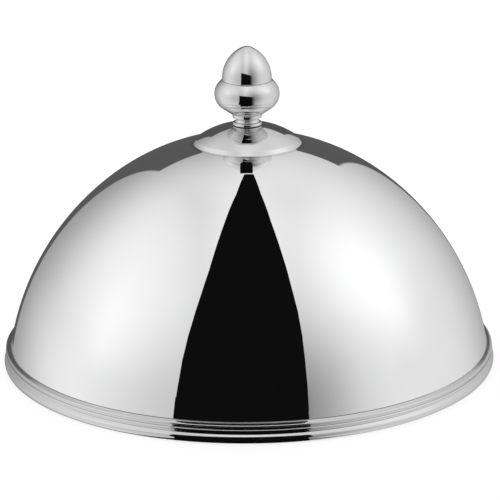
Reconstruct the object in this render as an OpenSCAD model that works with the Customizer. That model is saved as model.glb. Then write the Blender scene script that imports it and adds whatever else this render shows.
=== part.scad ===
// Buffet food cover: a spun steel dome with a stepped rim, a raised crown boss and an acorn knob.
// All lengths are in millimetres. The rim stands on z = 0 and the dome's axis is the z axis.

/* [Rim] */
// Diameter over the rolled bead at the bottom edge
rim_d = 300; // [270:1:330]
// Height of the crease where the rim band meets the wall
band_h = 11.6; // [11.2:0.1:12.2]
// Distance of the wall's foot inside the bead's outside
wall_inset = 4.3; // [4:0.1:4.6]
// Diameter of the rolled bead's section
bead_d = 5.3; // [5:0.1:5.5]
// Depth of the flat that the bead stands on, cut off its round section
bead_flat = 0.15; // [0.1:0.01:0.2]
// Diameter of the stiffening wire rolled into the bead
wire_d = 3.4; // [3:0.1:3.4]
// Gap left between the end of the curl and the band
curl_gap = 0.6; // [0.4:0.1:0.8]

/* [Rim moulding] */
// Fall of the top ledge from the crease to the upper bead
ledge_fall = 0.8; // [0.6:0.05:1]
// Radius of the upper bead
upper_bead_r = 0.7; // [0.6:0.05:0.75]
// Distance of the upper bead's crest inside the rim's outside
upper_bead_inset = 1.1; // [1:0.05:1.3]
// Distance of the plain fascia inside the rim's outside
fascia_inset = 1.9; // [1.8:0.05:2]
// Radius of the lower bead
lower_bead_r = 0.8; // [0.7:0.05:0.85]
// Distance of the lower bead's crest inside the rim's outside
lower_bead_inset = 0.8; // [0.7:0.05:1]
// Height of the lower bead's centre
lower_bead_h = 7.45; // [7.2:0.05:7.7]
// Distance of the flange's root inside the rim's outside
flange_inset = 2.1; // [2.05:0.05:2.2]
// Slope of the flange above the rolled bead, in degrees
flange_deg = 45; // [40:1:50]

/* [Dome] */
// Thickness of the spun sheet
sheet_t = 0.9; // [0.8:0.05:0.95]
// Radius of the crown's arc, as a share of the rim's radius
crown_r_share = 0.9333; // [0.92:0.005:0.95]
// Radius of the side's arc, as a share of the rim's radius
side_r_share = 1.0733; // [1.06:0.005:1.1]
// Angle from the axis at which the two arcs meet
join_deg = 37; // [32:1:42]

/* [Crown boss] */
// Diameter of the raised boss at its crease with the crown
boss_d = 64.4; // [60:0.5:70]
// Height of the boss's upright side
boss_side_h = 0.57; // [0.4:0.05:1]
// Radius of the rounded edge of the boss
boss_edge_r = 1.4; // [1.2:0.1:1.8]
// Radius of the boss's domed top
boss_cap_r = 53; // [48:1:60]
// Diameter of the flat seat under the knob
seat_d = 22.8; // [20:0.2:24]
// Diameter of the hole for the screw
hole_d = 6.6; // [6.4:0.1:7]

/* [Knob acorn] */
// Radius of the acorn's side arc
acorn_arc_r = 21; // [19:0.5:23]
// Distance of the acorn's widest line inside the cup's lip
acorn_inset = 0.6; // [0.4:0.05:0.8]
// Radius of the acorn's rounded lower edge
acorn_edge_r = 0.9; // [0.6:0.05:1]
// Radius of the acorn's rounded tip
acorn_tip_r = 7.4; // [6:0.2:9]
// Thickness of the acorn's pressed wall
acorn_t = 0.9; // [0.8:0.05:1]
// Length of the spigot that enters the cup
spigot_h = 3; // [2:0.1:3.5]

/* [Knob cup] */
// Diameter of the cup at its widest line
cup_d = 39; // [38.4:0.1:40]
// Radius of the cup's rounded side
cup_arc_r = 10; // [9.6:0.1:10.4]
// Height of the seam with the acorn above the cup's widest line
seam_rise = 8.4; // [8.2:0.1:8.6]
// Height of the cup's widest line above its bottom
cup_wide_h = 12.1; // [11.6:0.1:12.6]
// Width of the cup's flat floor outside the nut's corners
nut_room = 0.9; // [0.6:0.05:1.2]
// Thickness of the cup's pressed wall
cup_t = 0.9; // [0.8:0.05:0.95]
// Height of the upright lip round the cup's mouth
cup_lip_h = 0.4; // [0.3:0.05:0.6]
// Width of the lip's flat top
cup_lip_w = 1.8; // [1.7:0.05:1.9]

/* [Neck and foot] */
// Diameter of the collar under the cup
collar_d = 17.6; // [17:0.1:18.4]
// Height of the collar under the cup
collar_h = 2.5; // [2.2:0.1:2.8]
// Radius of the collar's rounded edges
collar_edge_r = 0.7; // [0.5:0.1:0.9]
// Diameter at the bottom of the hollow in the neck
neck_d = 13.6; // [13.2:0.1:14]
// Height of the hollow in the neck
neck_h = 2.5; // [2.3:0.1:2.8]
// Radius of the hollow in the neck
neck_hollow_r = 1.5; // [1.45:0.05:1.7]
// Diameter of the foot ring
foot_d = 17.4; // [17:0.1:18]
// Height of the foot ring
foot_h = 1.7; // [1.6:0.1:2]
// Radius of the foot ring's rounded edge
foot_edge_r = 0.8; // [0.5:0.1:0.9]
// Diameter of the foot ring's bore, in which the stem turns
foot_bore_d = 10.5; // [10.3:0.1:10.8]
// Diameter of the recess for the stem's lip
foot_recess_d = 12.8; // [12.6:0.1:13.2]
// Depth of the recess for the stem's lip
foot_recess_h = 0.9; // [0.8:0.05:1]
// Diameter of the stem where it passes the cup and takes the nut
stem_top_d = 10; // [9.6:0.1:10.2]
// Length of the stem above the cup's bottom sheet
stem_top_h = 5; // [4.6:0.1:5.4]

/* [Fasteners] */
// Diameter of the screw's shank, over the thread
screw_d = 5.9; // [5.6:0.1:6]
// Length of the screw under its head
screw_len = 18; // [17:0.5:18.5]
// Diameter of the screw's head
head_d = 11; // [10.4:0.2:11.6]
// Height of the screw's head
head_h = 3.2; // [3:0.1:3.6]
// Radius of the head's rounded edge
head_edge_r = 1.2; // [0.8:0.1:1.4]
// Width of the head's crossed slots
slot_w = 1.2; // [1:0.1:1.4]
// Length of the head's crossed slots
slot_len = 6; // [5:0.2:6.4]
// Depth of the head's crossed slots
slot_h = 1.7; // [1.4:0.1:2]
// Width of the nut across its flats
nut_af = 15; // [14.4:0.2:15.6]
// Height of the nut
nut_h = 4; // [3.6:0.1:4.2]
// Diameter of the spring lock washer
lock_d = 10.8; // [10.4:0.1:11]
// Thickness of the spring lock washer
lock_h = 1.5; // [1.4:0.1:1.7]
// Gap in the spring lock washer
lock_gap = 1; // [0.8:0.1:1.2]
// Diameter of the backing washer
backing_d = 18; // [17:0.2:18.6]
// Thickness of the backing washer
backing_h = 1.2; // [1:0.1:1.4]
// Diameter of the inner gasket
inner_gasket_d = 16.4; // [15.6:0.2:17]
// Thickness of the inner gasket
inner_gasket_h = 1; // [0.8:0.1:1.2]
// Diameter of the gasket under the foot ring
foot_gasket_d = 16; // [15.4:0.2:16.8]
// Thickness of the gasket under the foot ring
foot_gasket_h = 0.4; // [0.3:0.05:0.6]

/* [Fits] */
// Radial clearance where the knob turns on the screw and in the foot ring
turn_fit = 0.05; // [0.03:0.01:0.08]
// Clearance of the wire, the nut and the spigot in their seats
seat_fit = 0.05; // [0.03:0.01:0.08]
// Radial clearance of the washers and gaskets round the screw
washer_fit = 0.25; // [0.2:0.01:0.3]
// Play of the foot ring along the stem
end_play = 0.05; // [0.03:0.01:0.08]

/* [Hidden] */
$fn = 96;
// How far one arc stands proud where it runs into the next
blend_lap = 0.005;
steel = [0.8, 0.81, 0.82];
wire_steel = [0.62, 0.63, 0.65];
zinc = [0.7, 0.71, 0.69];
black_rubber = [0.1, 0.1, 0.1];

// Rim
rim_r = rim_d / 2;
wall_r = rim_r - wall_inset;
bead_r = bead_d / 2;
bead_x = rim_r - bead_r;
bead_z = bead_r - bead_flat;
bead_bore_r = wire_d / 2 + seat_fit;
bead_mid_r = (bead_bore_r + bead_r) / 2;
ledge_z = band_h - sheet_t;
upper_bead_x = rim_r - upper_bead_inset - upper_bead_r;
upper_bead_z = band_h - ledge_fall - upper_bead_r;
fascia_r = rim_r - fascia_inset;
lower_bead_x = rim_r - lower_bead_inset - lower_bead_r;
flange_r = rim_r - flange_inset;
flange_end_x = bead_x + bead_r * sin(flange_deg);
flange_end_z = bead_z + bead_r * cos(flange_deg);
flange_z = flange_end_z + (flange_end_x - flange_r) * tan(flange_deg);
band_inner_r = fascia_r - sheet_t;
ledge_in_z = ledge_z - ledge_fall * (band_inner_r - wall_r) / (upper_bead_x - wall_r);
curl_deg = 135;

// Dome
crown_r = rim_r * crown_r_share;
side_r = rim_r * side_r_share;
side_x = -(side_r - crown_r) * sin(join_deg);
side_z = band_h - sqrt(pow(side_r, 2) - pow(wall_r - side_x, 2));
crown_z = side_z + (side_r - crown_r) * cos(join_deg);
sky = crown_z + crown_r + boss_cap_r;

// Crown boss
boss_r = boss_d / 2;
boss_z = crown_z + sqrt(pow(crown_r, 2) - pow(boss_r, 2));
boss_edge_x = boss_r - boss_edge_r;
boss_edge_z = boss_z + boss_side_h;
cap_z = boss_edge_z - sqrt(pow(boss_cap_r - boss_edge_r, 2) - pow(boss_edge_x, 2));
cap_deg = asin(boss_edge_x / (boss_cap_r - boss_edge_r));
boss_root_z = boss_z - boss_cap_r / 4;
seat_z = cap_z + sqrt(pow(boss_cap_r, 2) - pow(seat_d / 2, 2));

// Knob, from the seat upwards
foot_z = seat_z + foot_gasket_h;
neck_z = foot_z + foot_h;
collar_z = neck_z + neck_h;
cup_z = collar_z + collar_h;
cup_x = cup_d / 2 - cup_arc_r;
cup_wide_z = cup_z + cup_wide_h;
seam_z = cup_wide_z + seam_rise;
nut_r = nut_af / 2 / cos(30);
cup_floor_r = nut_r + nut_room;
cup_reach = norm([cup_x - cup_floor_r, cup_wide_h]);
cup_cone_deg = atan2(cup_wide_h, cup_x - cup_floor_r) - asin(cup_arc_r / cup_reach);
cup_lip_r = cup_x + sqrt(pow(cup_arc_r, 2) - pow(seam_rise - cup_lip_h, 2));
mouth_r = cup_lip_r - cup_lip_w;
spigot_r = mouth_r - seat_fit;
spigot_bore_r = spigot_r - acorn_t;
acorn_r = cup_lip_r - acorn_inset;
acorn_x = acorn_r - acorn_arc_r;
acorn_z = seam_z + acorn_edge_r;
acorn_edge_x = acorn_r - acorn_edge_r;
acorn_tip_z = acorn_z + sqrt(pow(acorn_arc_r - acorn_tip_r, 2) - pow(acorn_x, 2));
acorn_tip_deg = asin(-acorn_x / (acorn_arc_r - acorn_tip_r));
nut_z = cup_z + cup_t;
stem_r = foot_bore_d / 2 - turn_fit;
stem_bore_r = screw_d / 2 + turn_fit;
lip_r = foot_recess_d / 2 - (foot_recess_d - foot_bore_d) / 4;
lip_z = foot_z + foot_recess_h / 4;
lip_h = foot_recess_h * 3 / 4 - end_play;
hollow_x = neck_d / 2 + neck_hollow_r;

// Fasteners, from the seat downwards
inside_z = seat_z - sheet_t;
backing_z = inside_z - inner_gasket_h - backing_h;
lock_z = backing_z - lock_h;
washer_bore_r = screw_d / 2 + washer_fit;

// A flat ring's section from its bore, outside, bottom and height
module ring_section(bore, outside, bottom, height) {
    translate([bore, bottom]) square([outside - bore, height]);
}

// A plain washer about the axis
module washer(bore, outside, bottom, height) {
    rotate_extrude() ring_section(bore, outside, bottom, height);
}

// The filled outline of the dome with its boss, drawn inwards from the outside by the given depth
module dome_outline(depth, bottom) {
    join_z = crown_z + (crown_r - depth) * cos(join_deg);
    edge_r = boss_edge_r - depth;
    intersection() {
        translate([0, crown_z]) circle(crown_r + blend_lap - depth);
        translate([0, bottom]) square([rim_r, sky - bottom]);
    }
    intersection() {
        translate([side_x, side_z]) circle(side_r - depth);
        translate([0, bottom]) square([rim_r, join_z - bottom]);
    }
    intersection() {
        translate([0, cap_z]) circle(boss_cap_r - depth);
        translate([0, boss_root_z])
            square([boss_edge_x + edge_r * sin(cap_deg), seat_z - depth - boss_root_z]);
    }
    translate([boss_edge_x, boss_edge_z]) circle(edge_r + blend_lap);
    translate([0, boss_root_z]) square([boss_r - depth, boss_edge_z - boss_root_z]);
}

// The sheet's section in the rim band, from the crease to the rolled bead
module band_section() {
    polygon([
        [wall_r - sheet_t / 2, ledge_z],
        [band_inner_r, ledge_in_z],
        [band_inner_r, bead_z + bead_mid_r],
        [bead_x + bead_mid_r * sin(flange_deg), bead_z + bead_mid_r * cos(flange_deg)],
        [flange_end_x, flange_end_z],
        [flange_r, flange_z],
        [flange_r, lower_bead_h],
        [fascia_r, lower_bead_h],
        [fascia_r, upper_bead_z],
        [upper_bead_x, upper_bead_z],
        [upper_bead_x, band_h - ledge_fall],
        [wall_r, band_h],
        [wall_r - sheet_t / 2, band_h]
    ]);
    translate([upper_bead_x, upper_bead_z]) circle(upper_bead_r);
    translate([lower_bead_x, lower_bead_h]) circle(lower_bead_r);
}

// The rolled bead's section: a curl round the wire, flat underneath and open behind the band
module curl_section() {
    difference() {
        translate([bead_x, bead_z]) circle(bead_r);
        translate([bead_x, bead_z]) circle(bead_bore_r);
        translate([bead_x - bead_d, -bead_d]) square([bead_d * 2, bead_d]);
        translate([bead_x, bead_z]) rotate(curl_deg) translate([0, -curl_gap / 2]) square([bead_d, curl_gap]);
    }
}

// Spun dome with its boss, rim band and rolled bead, from one sheet
module dome_shell() {
    color(steel) rotate_extrude() {
        difference() {
            dome_outline(0, ledge_z);
            dome_outline(sheet_t, 0);
            square([hole_d / 2, sky]);
        }
        difference() {
            band_section();
            translate([bead_x, bead_z]) circle(bead_bore_r);
        }
        curl_section();
    }
}

// Wire inside the rolled bead
module rim_wire() {
    color(wire_steel) rotate_extrude() translate([bead_x, bead_z]) circle(wire_d / 2);
}

// The filled outline of the acorn, drawn inwards from the outside by the given depth
module acorn_outline(depth) {
    tangent_z = acorn_tip_z + (acorn_tip_r - depth) * cos(acorn_tip_deg);
    intersection() {
        translate([acorn_x, acorn_z]) circle(acorn_arc_r - depth);
        translate([0, acorn_z]) square([acorn_r * 2, tangent_z - acorn_z]);
    }
    intersection() {
        translate([0, acorn_tip_z]) circle(acorn_tip_r + blend_lap - depth);
        translate([0, acorn_z]) square(acorn_arc_r * 2);
    }
}

// Upper half of the knob: a pressed acorn with a spigot
module knob_acorn() {
    color(steel) rotate_extrude() {
        difference() {
            union() {
                acorn_outline(0);
                translate([0, seam_z]) square([acorn_edge_x, acorn_edge_r * 2]);
                intersection() {
                    translate([acorn_edge_x, acorn_z]) circle(acorn_edge_r + blend_lap);
                    translate([0, seam_z]) square([acorn_r * 2, acorn_edge_r * 2]);
                }
            }
            acorn_outline(acorn_t);
            translate([0, seam_z - acorn_t]) square([spigot_bore_r, acorn_t * 3]);
        }
        ring_section(spigot_bore_r, spigot_r, seam_z - spigot_h, spigot_h + acorn_edge_r / 2);
    }
}

// The filled outline of the cup, drawn inwards from the outside by the given depth
module cup_outline(depth) {
    arc = cup_arc_r - depth;
    tangent_x = cup_x + arc * sin(cup_cone_deg);
    tangent_z = cup_wide_z - arc * cos(cup_cone_deg);
    bottom = cup_z + depth;
    translate([cup_x, cup_wide_z]) circle(arc + blend_lap);
    polygon([
        [0, bottom],
        [tangent_x - (tangent_z - bottom) / tan(cup_cone_deg), bottom],
        [tangent_x, tangent_z],
        [cup_x, cup_wide_z],
        [cup_x, seam_z + cup_arc_r],
        [0, seam_z + cup_arc_r]
    ]);
}

// Lower half of the knob: a pressed cup, clamped on the stem
module knob_cup() {
    color(steel) rotate_extrude() difference() {
        intersection() {
            union() {
                cup_outline(0);
                translate([0, seam_z - cup_lip_w]) square([cup_lip_r, cup_lip_w * 2]);
            }
            translate([stem_top_d / 2 + seat_fit, cup_z]) square([cup_d, seam_z - cup_z]);
        }
        cup_outline(cup_t);
        translate([0, seam_z - cup_lip_w]) square([mouth_r, cup_lip_w * 2]);
    }
}

// Turned stem: the hollowed neck and collar, with a lip that keeps the foot ring on
module knob_stem() {
    color(steel) rotate_extrude() difference() {
        union() {
            ring_section(stem_bore_r, lip_r, lip_z, lip_h);
            ring_section(stem_bore_r, stem_r, lip_z, neck_z + end_play - lip_z + neck_h / 4);
            ring_section(stem_bore_r, hollow_x, neck_z + end_play, neck_h);
            ring_section(stem_bore_r, collar_d / 2 - collar_edge_r, collar_z, collar_h);
            ring_section(stem_bore_r, collar_d / 2, collar_z + collar_edge_r, collar_h - collar_edge_r * 2);
            translate([collar_d / 2 - collar_edge_r, collar_z + collar_edge_r]) circle(collar_edge_r);
            translate([collar_d / 2 - collar_edge_r, cup_z - collar_edge_r]) circle(collar_edge_r);
            ring_section(stem_bore_r, stem_top_d / 2, collar_z, collar_h + cup_t + stem_top_h);
        }
        translate([hollow_x, neck_z + neck_h / 2]) circle(neck_hollow_r);
    }
}

// Nut inside the knob that clamps the cup on the stem
module stem_nut() {
    color(zinc) difference() {
        translate([0, 0, nut_z]) cylinder(r = nut_r, h = nut_h, $fn = 6);
        translate([0, 0, nut_z - nut_h]) cylinder(d = stem_top_d + seat_fit * 2, h = nut_h * 3);
    }
}

// Foot ring in which the stem turns
module knob_foot() {
    color(steel) rotate_extrude() difference() {
        union() {
            ring_section(foot_bore_d / 2, foot_d / 2 - foot_edge_r, foot_z, foot_h);
            ring_section(foot_bore_d / 2, foot_d / 2, foot_z, foot_h - foot_edge_r);
            translate([foot_d / 2 - foot_edge_r, foot_z + foot_h - foot_edge_r]) circle(foot_edge_r);
        }
        translate([0, foot_z - foot_recess_h]) square([foot_recess_d / 2, foot_recess_h * 2]);
    }
}

// Gasket between the foot ring and the crown
module foot_gasket() {
    color(black_rubber) washer(hole_d / 2, foot_gasket_d / 2, seat_z, foot_gasket_h);
}

// Pan head screw, put in from inside the dome
module knob_screw() {
    color(zinc) difference() {
        rotate_extrude() {
            ring_section(0, screw_d / 2, lock_z - head_h / 2, screw_len + head_h / 2);
            ring_section(0, head_d / 2, lock_z - head_h + head_edge_r, head_h - head_edge_r);
            ring_section(0, head_d / 2 - head_edge_r, lock_z - head_h, head_h);
            intersection() {
                translate([head_d / 2 - head_edge_r, lock_z - head_h + head_edge_r]) circle(head_edge_r);
                translate([0, lock_z - head_h]) square([head_d, head_h]);
            }
        }
        for (turn = [0, 90]) {
            rotate(turn) translate([-slot_len / 2, -slot_w / 2, lock_z - head_h - slot_h])
                cube([slot_len, slot_w, slot_h * 2]);
        }
    }
}

// Split spring washer under the screw's head
module lock_washer() {
    color(zinc) difference() {
        washer(washer_bore_r, lock_d / 2, lock_z, lock_h);
        translate([0, -lock_gap / 2, lock_z - lock_h]) cube([lock_d, lock_gap, lock_h * 3]);
    }
}

// Plain washer that spreads the screw's load
module backing_washer() {
    color(zinc) washer(washer_bore_r, backing_d / 2, backing_z, backing_h);
}

// Gasket between the backing washer and the crown's inside
module inner_gasket() {
    color(black_rubber) washer(washer_bore_r, inner_gasket_d / 2, backing_z + backing_h, inner_gasket_h);
}

dome_shell();
rim_wire();
knob_acorn();
knob_cup();
knob_stem();
stem_nut();
knob_foot();
foot_gasket();
knob_screw();
lock_washer();
backing_washer();
inner_gasket();
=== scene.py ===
"""Buffet food cover: a mirror polished dome with a stepped rim, a boss and an acorn knob, on its stage."""

import math
from types import SimpleNamespace

import bpy
from mathutils import Matrix, Vector


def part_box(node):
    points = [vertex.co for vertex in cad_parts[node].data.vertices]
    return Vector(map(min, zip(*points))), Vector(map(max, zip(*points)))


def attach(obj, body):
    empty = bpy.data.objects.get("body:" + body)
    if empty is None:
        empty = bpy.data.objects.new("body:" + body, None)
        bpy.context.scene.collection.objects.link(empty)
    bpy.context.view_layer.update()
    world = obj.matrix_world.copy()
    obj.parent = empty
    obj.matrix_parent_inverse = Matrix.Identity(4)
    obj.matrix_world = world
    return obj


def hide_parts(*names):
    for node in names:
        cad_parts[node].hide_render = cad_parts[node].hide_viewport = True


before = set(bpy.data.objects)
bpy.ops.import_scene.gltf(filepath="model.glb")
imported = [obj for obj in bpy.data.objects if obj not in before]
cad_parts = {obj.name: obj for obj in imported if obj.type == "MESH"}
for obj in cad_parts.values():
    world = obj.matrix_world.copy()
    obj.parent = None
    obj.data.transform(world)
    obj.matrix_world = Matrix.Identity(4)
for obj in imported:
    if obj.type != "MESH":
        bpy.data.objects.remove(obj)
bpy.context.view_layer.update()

bl_info = {
    "name": "Buffet food cover",
    "version": (1, 0, 0),
    "blender": (4, 5, 0),
    "location": "View3D > Sidebar > Food cover",
    "description": "Builds a mirror polished food cover with an acorn knob, and the stage that it stands on",
    "category": "Object",
}

RIM_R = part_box("dome_shell")[1].x
TOP_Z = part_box("knob_acorn")[1].z

# How the pieces are drawn: their turns, steps, edges and threads
DOME_TURNS = 240
KNOB_TURNS = 160
SMALL_TURNS = 96
LEAST_STEPS = 2
SMALL_STEP = math.radians(6)
CORNER_STEP = math.radians(9)
HIDDEN_STEP = math.radians(12)
LARGE_STEP = math.radians(1)
FINE_STEP = math.radians(2.5)
CREASE_POINTS = 2
TRIM_SHARE = 0.49
HOLD = 0.00003
HOLD_STRETCH = HOLD * 6
SAME_POINT = HOLD / 10
SHARP_ANGLE = math.radians(38)
FASTENER_SHARP = math.radians(28)
BROKEN_ANGLE = math.radians(60)
EDGE_SEGMENTS = 2
THREAD_TURNS = 48
THREAD_ROWS = 10
THREAD_POWER = 0.7
END_SHARE = 0.82
QUARTER = math.pi / 2
FULL_TURN = math.pi * 2
NUT_SECTOR = math.pi / 3

# Marks of polishing, wiping, wear and dust: how fine they are, their limits in the noise and their strength
DOME_RINGS = 1400.0
SOFT_RINGS = 1800.0
SATIN_RINGS = 2600.0
FASTENER_RINGS = 5200.0
RING_BREAKS = 3.0
RING_SCALE = 1.0
RING_LIMITS = (0.45, 0.75)
PATCH_SCALE = 22.0
PATCH_LIMITS = (0.35, 0.7)
HAZE_SCALE = 14.0
DUST_SCALE = 300.0
HAZE_LIMITS = (0.42, 0.78)
SCRATCH_SCALE = 260.0
SCRATCH_TURN = (0.4, 0.2, 0.9)
SCRATCH_STRETCH = (1.0, 0.03, 1.0)
SCRATCH_LIMITS = (0.7, 0.78)
EDGE_START = 0.505
EDGE_FULL = 0.54
EDGE_SCALE = 180.0
EDGE_LIMITS = (0.35, 0.65)
GRAIN_SCALE = 2600.0
LOW_DETAIL = 2.0
MIDDLE_DETAIL = 3.0
HIGH_DETAIL = 4.0
WORN_SHARE = 0.96
BRIGHT_SHARE = 1.25
WEAR_SHARE = 0.6
DUST_PALE = 0.06

# Fine relief: its depth in metres and how strongly it shows
POLISH_DEPTH = 0.00001
POLISH_RELIEF = 0.02
SATIN_RELIEF = 0.5
FASTENER_DEPTH = 0.00002
FASTENER_RELIEF = 0.3
GRAIN_DEPTH = 0.00005
GRAIN_RELIEF = 0.4

# Sockets of the mix node: its share, its two values and its result, for numbers and for colours
NUMBER_MIX = (0, 2, 3, 0)
COLOUR_MIX = (0, 6, 7, 2)


def length(label, description, default):
    """A length in metres that a user may change."""
    return bpy.props.FloatProperty(
        name=label, description=description, default=default, min=0.0, precision=5, unit="LENGTH"
    )


def angle(label, description, degrees):
    """An angle that a user may change."""
    return bpy.props.FloatProperty(
        name=label, description=description, default=math.radians(degrees), precision=3, subtype="ANGLE"
    )


def factor(label, description, default):
    """A number from nothing to a few times one."""
    return bpy.props.FloatProperty(name=label, description=description, default=default, precision=4)


def tint(label, description, default):
    """A colour that a user may change."""
    return bpy.props.FloatVectorProperty(
        name=label, description=description, default=default, size=4, min=0.0, max=1.0, subtype="COLOR"
    )


class RimSizes(bpy.types.PropertyGroup):
    """Sizes of the stepped rim and its rolled bead."""

    rim_r: length("Rim radius", "Radius over the rolled bead", RIM_R)
    band_h: length("Band height", "Height of the crease where the rim band meets the wall", 0.0116)
    wall_inset: length("Wall inset", "Distance of the wall's foot inside the bead's outside", 0.0043)
    bead_r: length("Bead radius", "Radius of the rolled bead's section", 0.00265)
    bead_flat: length("Bead flat", "Depth of the flat that the bead stands on", 0.00015)
    bore_r: length("Bead bore", "Radius of the space for the wire inside the bead", 0.00175)
    curl_gap: length("Curl gap", "Gap between the end of the curl and the band", 0.0006)
    curl_angle: angle("Curl angle", "Direction in which the curl ends", 135)
    ledge_fall: length("Ledge fall", "Fall of the ledge from the crease to the upper bead", 0.0008)
    ledge_slope: angle("Ledge slope", "Slope of the rounded ledge where it meets the upper bead", 22)
    upper_bead_r: length("Upper bead", "Radius of the upper bead", 0.0007)
    upper_bead_inset: length("Upper bead inset", "Distance of the upper bead's crest inside the rim", 0.0011)
    fascia_inset: length("Fascia inset", "Distance of the plain fascia inside the rim", 0.0019)
    lower_bead_r: length("Lower bead", "Radius of the lower bead", 0.0008)
    lower_bead_inset: length("Lower bead inset", "Distance of the lower bead's crest inside the rim", 0.0008)
    lower_bead_h: length("Lower bead height", "Height of the lower bead's centre", 0.00745)
    flange_inset: length("Flange inset", "Distance of the flange's root inside the rim", 0.0021)
    flange_slope: angle("Flange slope", "Slope of the flange above the rolled bead", 45)
    crease_r: length("Crease radius", "Radius of the rounded creases between the mouldings", 0.0002)


class DomeSizes(bpy.types.PropertyGroup):
    """Sizes of the spun dome and its crown boss."""

    sheet_t: length("Sheet", "Thickness of the spun sheet", 0.0009)
    crown_r: length("Crown radius", "Radius of the crown's arc", 0.139995)
    side_r: length("Side radius", "Radius of the side's arc", 0.160995)
    join_angle: angle("Join angle", "Angle from the axis at which the two arcs meet", 37)
    boss_r: length("Boss radius", "Radius of the raised boss at its crease", 0.0322)
    boss_side_h: length("Boss side", "Height of the boss's upright side", 0.00057)
    boss_edge_r: length("Boss edge", "Radius of the boss's rounded edge", 0.0014)
    boss_cap_r: length("Boss cap", "Radius of the boss's domed top", 0.053)
    boss_crease_r: length("Boss crease", "Radius of the crease round the boss", 0.0012)
    boss_crease_w: length("Boss crease width", "Width of the crown's strip that bends into the boss", 0.002)
    boss_lean: angle("Boss lean", "Rise of the direction that the boss's side faces", 35)
    boss_roll: angle("Boss roll", "How far the boss's edge is drawn in along its cap", 1.37)
    seat_r: length("Seat radius", "Radius of the flat seat under the knob", 0.0114)
    hole_r: length("Hole radius", "Radius of the hole for the screw", 0.0033)
    wall_crease_r: length("Wall crease", "Radius of the crease at the wall's foot", 0.0005)


class KnobSizes(bpy.types.PropertyGroup):
    """Sizes of the acorn knob, its stem and its foot ring."""

    acorn_arc_r: length("Acorn side", "Radius of the acorn's side arc", 0.021)
    acorn_r: length("Acorn radius", "Radius of the acorn at its widest line", 0.0149)
    acorn_edge_r: length("Acorn edge", "Height of the acorn's widest line above its seam", 0.0009)
    acorn_rim_r: length("Acorn rim", "Radius of the acorn's rounded rim at the seam", 0.00035)
    acorn_tip_r: length("Acorn tip", "Radius of the acorn's tip", 0.0074)
    shell_t: length("Knob sheet", "Thickness of the knob's pressed shells", 0.0009)
    spigot_r: length("Spigot radius", "Radius of the spigot that enters the cup", 0.01365)
    spigot_h: length("Spigot length", "Length of the spigot that enters the cup", 0.003)
    cup_r: length("Cup radius", "Radius of the cup at its widest line", 0.0195)
    cup_arc_r: length("Cup side", "Radius of the cup's rounded side", 0.01)
    cup_wide_h: length("Cup height", "Height of the cup's widest line above its floor", 0.0121)
    cup_floor_r: length("Cup floor", "Radius of the cup's flat floor", 0.00956)
    cup_bore_r: length("Cup bore", "Radius of the hole in the cup's floor", 0.00505)
    seam_rise: length("Seam height", "Height of the seam above the cup's widest line", 0.0084)
    lip_r: length("Lip radius", "Radius of the upright lip round the cup's mouth", 0.0155)
    mouth_r: length("Mouth radius", "Radius of the cup's mouth", 0.0137)
    collar_r: length("Collar radius", "Radius of the collar under the cup", 0.0088)
    collar_h: length("Collar height", "Height of the collar under the cup", 0.0025)
    collar_edge_r: length("Collar edge", "Radius of the collar's rounded edges", 0.0007)
    hollow_x: length("Hollow place", "Radius at which the hollow in the neck is centred", 0.0083)
    hollow_r: length("Hollow radius", "Radius of the hollow in the neck", 0.0015)
    neck_h: length("Neck height", "Height of the hollow in the neck", 0.0025)
    stem_r: length("Stem radius", "Radius of the stem in the foot ring", 0.0052)
    stem_lip_r: length("Stem lip", "Radius of the lip that keeps the foot ring on", 0.005825)
    stem_lip_h: length("Stem lip height", "Height of the lip that keeps the foot ring on", 0.000625)
    stem_lip_z: length("Stem lip level", "Height of the stem's lower end above the foot ring's", 0.000225)
    stem_top_r: length("Stem top", "Radius of the stem inside the cup", 0.005)
    stem_top_h: length("Stem top height", "Height of the stem above the cup's floor sheet", 0.005)
    stem_bore_r: length("Stem bore", "Radius of the threaded bore in the stem", 0.003)
    end_play: length("End play", "Play between the foot ring and the stem's neck", 0.00005)
    foot_r: length("Foot radius", "Radius of the foot ring", 0.0087)
    foot_h: length("Foot height", "Height of the foot ring", 0.0017)
    foot_edge_r: length("Foot edge", "Radius of the foot ring's rounded edge", 0.0008)
    foot_bore_r: length("Foot bore", "Radius of the foot ring's bore", 0.00525)
    foot_recess_r: length("Foot recess", "Radius of the recess for the stem's lip", 0.0064)
    foot_recess_h: length("Foot recess depth", "Depth of the recess for the stem's lip", 0.0009)
    gasket_r: length("Foot gasket", "Radius of the gasket under the foot ring", 0.008)
    gasket_h: length("Foot gasket height", "Thickness of the gasket under the foot ring", 0.0004)
    fine_edge_r: length("Fine edge", "Radius of the knob's crisp edges", 0.00015)


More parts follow.
